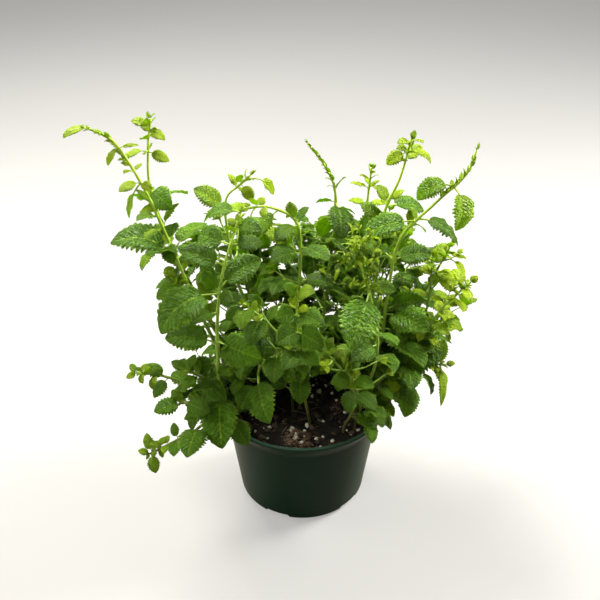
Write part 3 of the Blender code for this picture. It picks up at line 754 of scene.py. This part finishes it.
def soil_height(x, y):
    """Lumpy surface: a low mound with crumbs on it."""
    place = Vector((x, y, 0))
    crumbs = noise.noise(place * 45) + 0.6 * noise.noise(place * 120) + 0.4 * noise.noise(place * 330)
    out = math.hypot(x, y) / SOIL_RADIUS
    near = math.hypot(x - TANGLE_PLACE[0], y - TANGLE_PLACE[1]) / TANGLE_RADIUS
    mound = SOIL_MOUND * (1 - out**2) + TANGLE_RISE * max(0, 1 - near * near)
    return SOIL_TOP + mound + crumbs * SOIL_LUMP - SOIL_SINK * out**6


def make_soil(materials):
    """A disc of rings, lumped, with a plain body under it."""
    deselect_all()
    bpy.ops.mesh.primitive_circle_add(vertices=SOIL_SPOKES, radius=1, fill_type="NOTHING")
    soil = bpy.context.object
    soil.name = "soil_body"
    mode("EDIT", "SELECT")
    # Rings inwards over the top, from the wall to the middle
    for ring in range(SOIL_RINGS):
        now, inner = 1 - ring / SOIL_RINGS, 1 - (ring + 1) / SOIL_RINGS
        bpy.ops.mesh.extrude_edges_move()
        size = max(inner, 0.004) / now
        bpy.ops.transform.resize(value=(size, size, size))
    bpy.ops.mesh.merge(type="CENTER")
    mode("OBJECT")
    mesh = soil.data
    top = read_points(mesh)[:, :2] * SOIL_RADIUS
    write_points(mesh, [(x, y, soil_height(x, y)) for x, y in top])
    # The rest of the body: down inside the pot's wall to its floor
    mode("EDIT", "DESELECT")
    bpy.ops.mesh.select_non_manifold()
    wall_foot = (wall_radius(10 * MM) - 2 * MM, 10 * MM)
    for radius, height in (wall_foot, (SOIL_FLOOR_RADIUS, 4.5 * MM), (SOIL_FLOOR_RADIUS, 2 * MM)):
        bpy.ops.mesh.extrude_edges_move()
        mode("OBJECT")
        points = read_points(mesh)
        for vertex in mesh.vertices:
            if vertex.select:
                x, y, _ = points[vertex.index]
                scale = radius / math.hypot(x, y)
                points[vertex.index] = (x * scale, y * scale, height)
        write_points(mesh, points)
        mode("EDIT")
    bpy.ops.mesh.edge_face_add()
    bpy.ops.mesh.select_all(action="SELECT")
    bpy.ops.mesh.normals_make_consistent(inside=False)
    mode("OBJECT")
    mesh.shade_smooth()
    dress(soil, ["soil"], materials["soil"])


def scatter(name, count, seed, make_one, spread=SOIL_RADIUS * 0.95, centre=(0, 0)):
    """Small pieces strewn over the soil within a radius of a point, joined into one."""
    chance = random.Random(seed)
    pieces = []
    for _ in range(count):
        radius = spread * math.sqrt(chance.random())
        angle = chance.uniform(0, 2 * math.pi)
        x, y = centre[0] + radius * math.cos(angle), centre[1] + radius * math.sin(angle)
        piece = make_one(chance)
        turn = Matrix.Rotation(chance.uniform(0, 2 * math.pi), 4, "Z")
        turn = turn @ Matrix.Rotation(chance.uniform(-0.5, 0.5), 4, "X")
        piece.data.transform(Matrix.Translation((x, y, soil_height(x, y) + 0.4 * MM)) @ turn)
        pieces.append(piece)
    return join(pieces, name)


def lump(chance, size, flat, detail):
    """An uneven pebble: an icosphere pushed in and out."""
    deselect_all()
    bpy.ops.mesh.primitive_ico_sphere_add(subdivisions=detail, radius=1)
    stone = bpy.context.object
    shift = Vector((chance.uniform(0, 50), chance.uniform(0, 50), 0))
    stretch = Vector((1, chance.uniform(0.65, 1), flat * chance.uniform(0.7, 1)))
    for vertex in stone.data.vertices:
        push = 1 + 1.1 * noise.noise(vertex.co * 1.9 + shift)
        vertex.co = vertex.co * push * stretch * size
    stone.data.shade_smooth()
    return stone


def sliver(chance, length, width):
    """A bent splinter: a thin rod, cut along its length and curved."""
    deselect_all()
    bpy.ops.mesh.primitive_cylinder_add(vertices=5, radius=width, depth=length)
    splinter = bpy.context.object
    mode("EDIT", "SELECT")
    bpy.ops.mesh.subdivide(number_cuts=2)
    mode("OBJECT")
    bow = chance.uniform(-0.3, 0.3)
    splinter.data.transform(Matrix.Rotation(math.pi / 2, 4, "Y"))
    for vertex in splinter.data.vertices:
        share = vertex.co.x / length
        vertex.co.y += bow * length * share * share
        vertex.co.z += length * 0.25 * (0.25 - share * share) * chance.uniform(0.9, 1.1)
    splinter.data.shade_smooth()
    return splinter


def make_soil_bits(materials):
    """Perlite and bark over the whole soil, and loose fibres with a tangle of them at the front."""

    def grain(chance):
        return lump(chance, (0.6 + 2.4 * chance.random() ** 1.5) * MM, 0.75, 2)

    def chip(chance):
        return lump(chance, chance.uniform(1.2, 3.6) * MM, 0.45, 1)

    def fibre(chance):
        return sliver(chance, chance.uniform(5, 15) * MM, chance.uniform(0.12, 0.3) * MM)

    def tangled(chance):
        return sliver(chance, chance.uniform(4, 11) * MM, chance.uniform(0.12, 0.4) * MM)

    dress(scatter("perlite_grains", GRAINS, 3, grain), [], materials["perlite"])
    dress(scatter("bark_chips", BARK_CHIPS, 5, chip), [], materials["bark"])
    fibres = scatter("root_fibres", FIBRES, 8, fibre)
    tangle = scatter("tangle", TANGLE_FIBRES, 12, tangled, TANGLE_RADIUS, TANGLE_PLACE)
    dress(join([fibres, tangle], "root_fibres"), [], materials["fibre"])




# Paths of the stems


def stem_points(points):
    x, y = points[0]
    foot = Vector((x, y, 0)) * MM
    below = foot + Vector((0, 0, SOIL_TOP - SOCKET_DEPTH + STEM_CLEARANCE))
    above = foot + Vector((0, 0, SOIL_TOP + SOCKET_DEPTH))
    return [below, above, *(Vector(point) * MM for point in points[1:])]


def smooth_path(points, step):
    """Points about a step apart along a Catmull-Rom curve through the given ones."""
    ends = [points[0] * 2 - points[1], *points, points[-1] * 2 - points[-2]]
    path = []
    for a, b, c, d in zip(ends, ends[1:], ends[2:], ends[3:]):
        count = max(1, round((c - b).length / step))
        for i in range(count):
            t = i / count
            bend = (c - a) * t + (a * 2 - b * 5 + c * 4 - d) * t**2 + (b * 3 - a - c * 3 + d) * t**3
            path.append(b + bend / 2)
    path.append(points[-1])
    return path


def path_length(path):
    return sum((b - a).length for a, b in zip(path, path[1:]))


def along(path, share):
    left = share * path_length(path)
    for a, b in zip(path, path[1:]):
        length = (b - a).length
        if left <= length:
            return a.lerp(b, left / length)
        left -= length
    return path[-1]


def tubes(name, lines):
    """Closed tubes along paths with a radius at every point, drawn as one curve and made a mesh."""
    curve = bpy.data.curves.new(name, "CURVE")
    curve.dimensions = "3D"
    curve.bevel_depth = 1
    curve.bevel_resolution = 1
    curve.use_fill_caps = True
    for path, radii in lines:
        spline = curve.splines.new("POLY")
        spline.points.add(len(path) - 1)
        for point, place, radius in zip(spline.points, path, radii):
            point.co = (*place, 1)
            point.radius = radius
    pick(add_object(name, curve))
    bpy.ops.object.convert(target="MESH")
    piece = bpy.context.object
    work = bmesh.new()
    work.from_mesh(piece.data)
    bmesh.ops.remove_doubles(work, verts=work.verts, dist=0.000002)
    bmesh.ops.recalc_face_normals(work, faces=work.faces)
    work.to_mesh(piece.data)
    work.free()
    piece.data.shade_smooth()
    return piece


# Leaves


class Leaf:
    """One leaf: its midrib from the stem's axis to its tip, and how its blade is folded and waved."""

    def __init__(self, start, length, heading, pitch, arch=USUAL_ARCH, width=USUAL_WIDTH,
                 petiole=USUAL_PETIOLE, tone=0.3, lean=0.0, chance=None):
        self.start = start
        self.length = length * MM
        heading, pitch = math.radians(heading), math.radians(pitch)
        level = math.cos(pitch)
        self.along = Vector((level * math.cos(heading), level * math.sin(heading), math.sin(pitch)))
        middle = start + self.along * self.length / 2
        outward = Vector((middle.x, middle.y, 0)).normalized()
        facing = outward * OUTWARD_LEAN + Vector((0, -lean, 1))
        roll = chance.gauss(0, ROLL)
        self.up = (facing - self.along * facing.dot(self.along)).normalized()
        self.up.rotate(Matrix.Rotation(roll, 3, self.along))
        self.side = self.up.cross(self.along)
        self.arch = arch
        self.half_width = width * self.length * (1 - petiole) / 2
        self.petiole = petiole
        self.tone = tone
        self.fold = chance.uniform(*FOLDS)
        self.twist = chance.gauss(0, TWIST)
        self.waves = chance.uniform(*WAVES)
        self.phase = chance.uniform(0, 2 * math.pi)
        self.ruffle = chance.uniform(*RUFFLES)

    def midrib(self, share):
        """Point of the midrib in the leaf's own axes."""
        rise = 4 * self.arch * share * (1 - share)
        return Vector((share, 0, rise)) * self.length

    def matrix(self):
        turn = Matrix((self.along, self.side, self.up)).transposed()
        return Matrix.Translation(self.start) @ turn.to_4x4()


def outline(share):
    widest = BASE_POWER / (BASE_POWER + TIP_POWER)
    most = widest**BASE_POWER * (1 - widest) ** TIP_POWER
    return share**BASE_POWER * (1 - share) ** TIP_POWER / most


def tooth_wave(share, teeth):
    """How far the margin stands out along a tooth that leans to the tip, from 0 to 1."""
    place = share * teeth % 1
    return math.sin(math.pi * place**TOOTH_LEAN)


def leaf_master(name, stations, strips, teeth, depth):
    """A flat toothed blade of length 1 and half width 1, quilted between its veins."""
    deselect_all()
    bpy.ops.mesh.primitive_grid_add(x_subdivisions=stations, y_subdivisions=strips, size=2)
    blade = bpy.context.object
    blade.name = name
    points = read_points(blade.data)
    for i, (x, y, _) in enumerate(points):
        share, across = (x + 1) / 2, abs(y)
        margin = across**5
        tooth = tooth_wave(share, teeth) * margin * math.sin(math.pi * min(1, share * 1.1)) ** 0.5
        reach = max(outline(share), 0.03) * (1 + depth * tooth - depth * 0.35 * margin)
        run = share * (VEIN_PAIRS + 2) - across**0.85 * VEIN_SLANT
        quilt = abs(math.sin(math.pi * run)) * (1 - across**3) * math.sin(math.pi * share)
        groove = math.exp(-((across / 0.12) ** 2))
        blister = math.sin(19 * share + 5 * y) * math.cos(9 * across + 7 * share)
        blister *= (1 - across**4) * math.sin(math.pi * share)
        relief = 0.009 * quilt - 0.012 * groove + 0.008 * blister
        points[i] = (share + 0.012 * tooth, math.copysign(across * reach, y), relief)
    write_points(blade.data, points)
    blade.data.shade_smooth()
    return blade


def grow_leaf(leaf, masters):
    """A copy of the right master's mesh, bent along the leaf's midrib and folded about it."""
    size = "large" if leaf.length > LARGE_FROM else "middle" if leaf.length > MIDDLE_FROM else "small"
    mesh = masters[size].data.copy()
    share, across, relief = read_points(mesh).T
    middle = leaf.petiole + (1 - leaf.petiole) * np.minimum(share, 1.02)
    slope = 4 * leaf.arch * (1 - 2 * middle)
    steep = np.hypot(1, slope)
    aside = across * leaf.half_width
    wave = np.sin(leaf.waves * 2 * math.pi * share + leaf.phase + np.where(across > 0, 1.3, 0))
    rise = np.abs(aside) * leaf.fold + wave * leaf.ruffle * leaf.half_width * across**2
    rise -= leaf.half_width * EDGE_CURL * across**4
    turn = leaf.twist * share
    cos, sin = np.cos(turn), np.sin(turn)
    rise, aside = rise * cos + aside * sin, aside * cos - rise * sin
    rise += relief * leaf.length
    points = np.stack((
        middle * leaf.length - slope / steep * rise,
        aside,
        4 * leaf.arch * middle * (1 - middle) * leaf.length + rise / steep,
    ), axis=1)
    write_points(mesh, points)
    mesh.transform(leaf.matrix())
    set_tone(mesh, leaf.tone)
    return mesh


def petiole_line(leaf):
    """Path and radii of the leaf's stalk."""
    shares = [leaf.petiole * 1.12 * i / PETIOLE_POINTS for i in range(PETIOLE_POINTS + 1)]
    matrix = leaf.matrix()
    path = [matrix @ leaf.midrib(share) for share in shares]
    thick = PETIOLE_RADIUS * max(0.55, min(1, leaf.length / FULL_PETIOLE_FROM))
    return path, [thick * (1.25 - 0.5 * i / PETIOLE_POINTS) for i in range(len(path))]


def tone_of(name, place, length, chance):
    """Small leaves and those near a tip are young and bright, large ones old and dark; each shoot adds
    its listed brightness, partly age and partly painted light.
    """
    small = max(0, 1 - length / 32)
    high = max(0, place - 0.5) * (0.3 + 0.7 * small)
    bright = YOUTH_AND_LIGHT.get(name, USUAL_YOUTH)
    light = 0.05 + 0.18 * bright + small * (0.22 + 0.5 * bright) + 0.45 * high
    light += 2.2 * bright * max(0, place - 0.72)
    return min(1, max(0, light + chance.gauss(0, 0.09)))


def told_leaves(name, path, rows, chance):
    """The leaves that the table lists."""
    leaves = []
    lean = 0 if name.startswith("back_") else FRONT_LEAN
    for place, length, *shape in rows:
        tone = tone_of(name, place, length, chance)
        leaves.append(Leaf(along(path, place), length, *shape, tone=tone, lean=lean, chance=chance))
    return leaves


def joints(name, length, low, density, wobble, chance):
    """Places up a stem, each with its turn in degrees: nearly at right angles to the last."""
    top = FILLED_TO.get(name, USUALLY_FILLED_TO)
    count = max(1, round(length * (top - low) / INTERNODE * density))
    turn = chance.uniform(0, 90)
    for k in range(count):
        turn += 90 + chance.gauss(0, wobble)
        yield low + (top - low) * (k + 0.5) / count, turn


def filling_leaves(name, path, rows, chance):
    """Opposite pairs wherever the table lists none."""
    leaves = []
    length = path_length(path)
    for place, turn in joints(name, length, min(0.3, 26 * MM / length), 1, 8, chance):
        if any(abs(place - row[0]) * length < 6 * MM and row[1] > 14 for row in rows):
            continue
        start = along(path, place)
        size = (36 - 18 * place) * min(1, 0.75 + length / 0.8)
        for side in (0, 180):
            grown = size * chance.uniform(0.7, 1.12)
            pitch = chance.uniform(-22, 16) + 25 * max(0, place - 0.6)
            tone = tone_of(name, place, grown, chance)
            heading, arch = turn + side + chance.gauss(0, 12), chance.uniform(0.08, 0.2)
            leaves.append(Leaf(start, grown, heading, pitch, arch, tone=tone, chance=chance))
            if chance.random() < 0.55:
                bud = chance.uniform(7, 13)
                tone = min(1, tone_of(name, place, bud, chance) + 0.2)
                heading, pitch = turn + side + chance.uniform(-50, 50), chance.uniform(15, 60)
                leaves.append(Leaf(start, bud, heading, pitch, tone=tone, chance=chance))
    return leaves


def side_sprigs(name, path, chance):
    """Short side shoots from the stem's joints, which make the bush dense."""
    sprigs = []
    length = path_length(path)
    density = SPRIG_DENSITY.get(name, 1)
    for place, turn in joints(name, length, min(0.25, 22 * MM / length), density, 10, chance):
        for side in (0, 180):
            if chance.random() <= SPRIG_CHANCE:
                sprigs.append(side_sprig(name, along(path, place), place, turn + side, chance))
    return sprigs


def side_sprig(name, start, place, turn, chance):
    """One side shoot: its line, and two pairs of leaves with four small ones at its tip."""
    longer, larger = (LONG_SPRIG_REACH, LONG_SPRIG_LEAF) if name in LONG_SPRIGS else (1, 1)
    reach = chance.uniform(*SPRIG_LENGTHS) * (1 - 0.45 * place) * MM * longer
    heading = math.radians(turn + chance.gauss(0, 15))
    pitch = math.radians(chance.uniform(5, 60))
    level = math.cos(pitch)
    way = Vector((level * math.cos(heading), level * math.sin(heading), math.sin(pitch)))
    end = start + way * reach + Vector((0, 0, reach * 0.2))
    line = smooth_path([start, start + way * reach * 0.5, end], STEM_STEP * 1.5)
    leaves = []
    for pair, share in enumerate((0.5, 1.0)):
        for side in (0, 180):
            grown = SPRIG_LEAF_LENGTHS[pair] * chance.uniform(0.65, 1.15) * larger
            tone = min(1, tone_of(name, place, grown, chance) + 0.06 * pair)
            facing = aim(way, chance.uniform(50, 75), 90 * pair + side + chance.gauss(0, 14))
            arch = chance.uniform(0.08, 0.22)
            leaves.append(Leaf(along(line, share), grown, *facing, arch, tone=tone, chance=chance))
    tone = min(1, tone + 0.25)
    for side in (0, 90, 180, 270):
        bud = chance.uniform(5, 9)
        leaves.append(Leaf(line[-1], bud, *aim(way, 35, side), 0.1, tone=tone, chance=chance))
    return line, leaves


def curled_tuft(path, chance):
    """Narrow curled leaves in a loose ball round the tip."""
    leaves = []
    for _ in range(TUFT_LEAVES):
        start = along(path, 1 - 0.2 * chance.random() ** 3)
        start += Vector([chance.gauss(0, 6 * MM) for _ in range(3)])
        length, heading = chance.uniform(4, 12), chance.uniform(0, 360)
        pitch, arch = chance.uniform(-60, 70), chance.uniform(0.2, 0.7)
        shape = (length, heading, pitch, arch, chance.uniform(0.16, 0.38), 0.12)
        leaves.append(Leaf(start, *shape, tone=chance.uniform(0.25, 1.1), chance=chance))
    return leaves


def tip_leaves(name, path, chance):
    """The youngest leaves at the tip: a loose bud, a closed spike, or a tuft of curled ones."""
    if name == TUFTED:
        return curled_tuft(path, chance)
    leaves = []
    length = path_length(path)
    way = (along(path, 1) - along(path, 0.97)).normalized()
    tone = min(1, 0.62 + YOUTH_AND_LIGHT.get(name, USUAL_TIP_YOUTH) * 0.5)
    turn = chance.uniform(0, 90)
    pairs, reach, sizes, spreads, width = SPIKE_PAIRS if name in SPIKES else BUD_PAIRS
    for k in range(pairs):
        share = k / (pairs - 1)
        start = along(path, 1 - reach / length * (1 - share))
        spread = spreads[0] + (spreads[1] - spreads[0]) * share
        size = sizes[0] + (sizes[1] - sizes[0]) * share
        for side in (0, 180):
            facing = aim(way, spread + chance.gauss(0, 6), turn + 90 * k + side + chance.gauss(0, 10))
            grown = size * chance.uniform(0.85, 1.15)
            leaves.append(Leaf(start, grown, *facing, 0.14, width, 0.12, tone=tone, chance=chance))
    if name == CLOSED_TIP:
        for side in (0, 180):
            shape = (17, -170 + side / 13, -18, 0.1, 0.38, 0.03)
            leaves.append(Leaf(path[-1], *shape, tone=1, lean=0.8, chance=chance))
    return leaves


def aim(way, spread, turn):
    """Heading and pitch of a direction that leans away from way by spread, on the side turn."""
    out = way.orthogonal().normalized()
    out.rotate(Matrix.Rotation(math.radians(turn), 3, way))
    out = way * math.cos(math.radians(spread)) + out * math.sin(math.radians(spread))
    return math.degrees(math.atan2(out.y, out.x)), math.degrees(math.asin(max(-1, min(1, out.z))))


def sight_lines():
    """Middles and radii of what nothing added may cover from the front: told leaves and stems."""
    middles, radii = [], []
    for name, (points, rows) in SHOOTS.items():
        path = smooth_path(stem_points(points), STEM_STEP)
        chance = random.Random(name)
        for leaf in told_leaves(name, path, rows, chance):
            if leaf.length > SHOWN_FROM:
                for share in (0.4, 0.75):
                    middles.append(leaf.matrix() @ leaf.midrib(share))
                    radii.append(leaf.half_width * 0.8)
        low, high = SHOWN_STEMS.get(name, (1, 1))
        count = round(path_length(path) * (high - low) / SIGHT_STEP)
        for i in range(count):
            middles.append(along(path, low + (high - low) * (i + 0.5) / count))
            radii.append(STEM_SIGHT)
        if name == TUFTED:
            middles.append(along(path, 1))
            radii.append(TUFT_SIGHT)
    return np.array(middles), np.array(radii)


def hides(sights, point):
    """Whether a point is in front of any of the sights."""
    middles, radii = sights
    ways = np.array(VIEWED_FROM) - middles
    ways /= np.linalg.norm(ways, axis=1)[:, None]
    offsets = np.array(point) - middles
    ahead = (offsets * ways).sum(axis=1)
    aside = np.sqrt(np.maximum(0, (offsets**2).sum(axis=1) - ahead**2))
    return bool(((ahead > 5 * MM) & (aside < radii)).any())


def within(low, high, point):
    return all(a * MM < b < c * MM for a, b, c in zip(low, point, high))


def fits(name, leaf, top, sights):
    """Whether an added leaf is inside the bush's outline and covers no soil and no told leaf."""
    tip = leaf.start + leaf.along * leaf.length
    if hides(sights, tip) or hides(sights, leaf.start.lerp(tip, 0.55)):
        return False
    if tip.z > top or not within(*OUTER_LIMITS, tip):
        return False
    if any(within(*space, tip) for space in CLEARINGS):
        return False
    return name in TALL or tip.z + CEILING_SLOPE * tip.y < CEILING


def make_shoot(name, points, rows, sights, masters, materials):
    """One shoot: its stem with petioles as one piece, and its blades as another."""
    chance = random.Random(name)
    path = smooth_path(stem_points(points), STEM_STEP)
    top = max(point.z for point in path)
    leaves = told_leaves(name, path, rows, chance)
    added = filling_leaves(name, path, rows, chance)
    leaves += [leaf for leaf in added if fits(name, leaf, top, sights)]
    leaves += tip_leaves(name, path, chance)
    lines = [(path, stem_radii(path, rows))]
    for line, young in side_sprigs(name, path, chance):
        young = [leaf for leaf in young if fits(name, leaf, top, sights)]
        if len(young) >= SPRIG_LEAVES_AT_LEAST:
            lines.append((line, list(np.linspace(SPRIG_RADIUS, SPRIG_TIP_RADIUS, len(line)))))
            leaves += young
    for leaf in leaves:
        lit = min(1, max(0, (leaf.start.z - SHADED_BELOW) / SHADE_RUN))
        leaf.tone *= SHADE_TONE + (1 - SHADE_TONE) * lit
    lines += [petiole_line(leaf) for leaf in leaves if leaf.length > PETIOLE_FROM]

    stem = tubes(f"shoot_{name}", lines)
    young_share = np.clip((read_points(stem.data)[:, 2] - YOUNG_STEM_FROM) / YOUNG_STEM_RUN, 0, 1)
    set_tone(stem.data, young_share * YOUNG_STEM_TONE)
    dress(stem, [f"stem_{name}"], materials["stem"])
    make_foliage(name, leaves, masters, materials)


def stem_radii(path, rows):
    """Radii along a stem: thinner towards its tip, and swollen at the joints of told leaves."""
    length, last = path_length(path), len(path) - 1
    foot = STEM_RADIUS * max(0.6, min(1, length / THICK_FROM_LENGTH))
    radii = []
    for i in range(last + 1):
        plain = foot + (TIP_RADIUS - foot) * (i / last) ** 0.9
        near = any(abs(row[0] - i / last) * length < NODE_REACH for row in rows)
        radii.append(plain * (1 + NODE_SWELLING * near))
    return radii


def make_foliage(name, leaves, masters, materials):
    work = bmesh.new()
    for leaf in leaves:
        blade = grow_leaf(leaf, masters)
        work.from_mesh(blade)
        bpy.data.meshes.remove(blade)
    mesh = bpy.data.meshes.new(f"foliage_{name}")
    work.to_mesh(mesh)
    work.free()
    foliage = add_object(mesh.name, mesh)
    apply_modifier(foliage, "SOLIDIFY", thickness=BLADE_THICKNESS, offset=-1)
    nodes = [cad_node for cad_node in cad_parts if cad_node.startswith(f"leaf_{name}_")]
    dress(foliage, nodes, materials["leaf"])


# Stage, lights and camera


def make_stage():
    deselect_all()
    bpy.ops.mesh.primitive_plane_add(size=9, location=(0, 1.5, -0.5 * MM))
    floor = bpy.context.object
    floor.name = "floor"
    material, tree, shader = new_material("pale_floor")
    seen = node(tree, "ShaderNodeLightPath").outputs["Is Camera Ray"]
    # Painted shade: the floor's colour darkens away behind the pot
    pale = mix(tree, ramp(tree, object_axis(tree, "Y"), -1.5, -0.5), FLOOR_NEAR, FLOOR_FAR_PAINTED_SHADE)
    feed(tree, shader, {"Base Color": mix(tree, seen, FLOOR_UNSEEN, pale), "Roughness": 0.8})
    bright = node(tree, "ShaderNodeEmission", {"Color": FLOOR_BRIGHT, "Strength": 1.0})
    add_shader(tree, times(tree, seen, FLOOR_BRIGHT_SHARE), shader, bright)
    floor.data.materials.append(material)
    floor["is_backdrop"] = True


def make_lights():
    for name, (place, aim_height, size, power, colour) in LAMPS.items():
        lamp = bpy.data.lights.new(name, "AREA")
        lamp.size = size
        lamp.energy = power
        lamp.color = colour
        holder = add_object(name, lamp)
        holder.location = place
        way = Vector((0, 0, aim_height)) - Vector(place)
        holder.rotation_euler = way.to_track_quat("-Z", "Y").to_euler()
    world = bpy.data.worlds.new("pale_room")
    world.use_nodes = True
    tree = world.node_tree
    seen = node(tree, "ShaderNodeLightPath").outputs["Is Camera Ray"]
    strength = plus(tree, times(tree, seen, ROOM_SEEN), ROOM_LIGHT)
    feed(tree, tree.nodes["Background"], {"Color": ROOM_COLOUR, "Strength": strength})
    bpy.context.scene.world = world


def make_camera():
    camera = bpy.data.cameras.new("camera")
    camera.lens = 50
    camera.sensor_width = 36
    holder = add_object("camera", camera)
    back = Vector((0, -math.cos(CAMERA_ELEVATION), math.sin(CAMERA_ELEVATION)))
    holder.location = Vector(CAMERA_TARGET) + back * CAMERA_DISTANCE
    holder.rotation_euler = (math.pi / 2 - CAMERA_ELEVATION, 0, 0)
    bpy.context.scene.camera = holder
    bpy.context.scene.view_settings.view_transform = "Standard"


def main():
    deselect_all()
    make_camera()
    make_lights()
    make_stage()
    groups = {"mottle": mottle_group(), "veins": vein_group()}
    materials = {
        "pot": pot_material(groups),
        "stem": stem_material(groups),
        "leaf": leaf_material(groups),
    }
    for name, look in SOIL_LOOKS.items():
        materials[name] = two_tone_material(name, groups, *look)
    make_pot(materials)
    make_soil(materials)
    make_soil_bits(materials)
    masters = {size: leaf_master(f"{size}_blade", *shape) for size, shape in BLADES.items()}
    sights = sight_lines()
    for name, (points, rows) in SHOOTS.items():
        make_shoot(name, points, rows, sights, masters, materials)
    for master in masters.values():
        bpy.data.objects.remove(master)


main()
boxes = {"cad": CAD_BOX, "visual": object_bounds()}
boxes = {name: [list(corner) for corner in box] for name, box in boxes.items()}
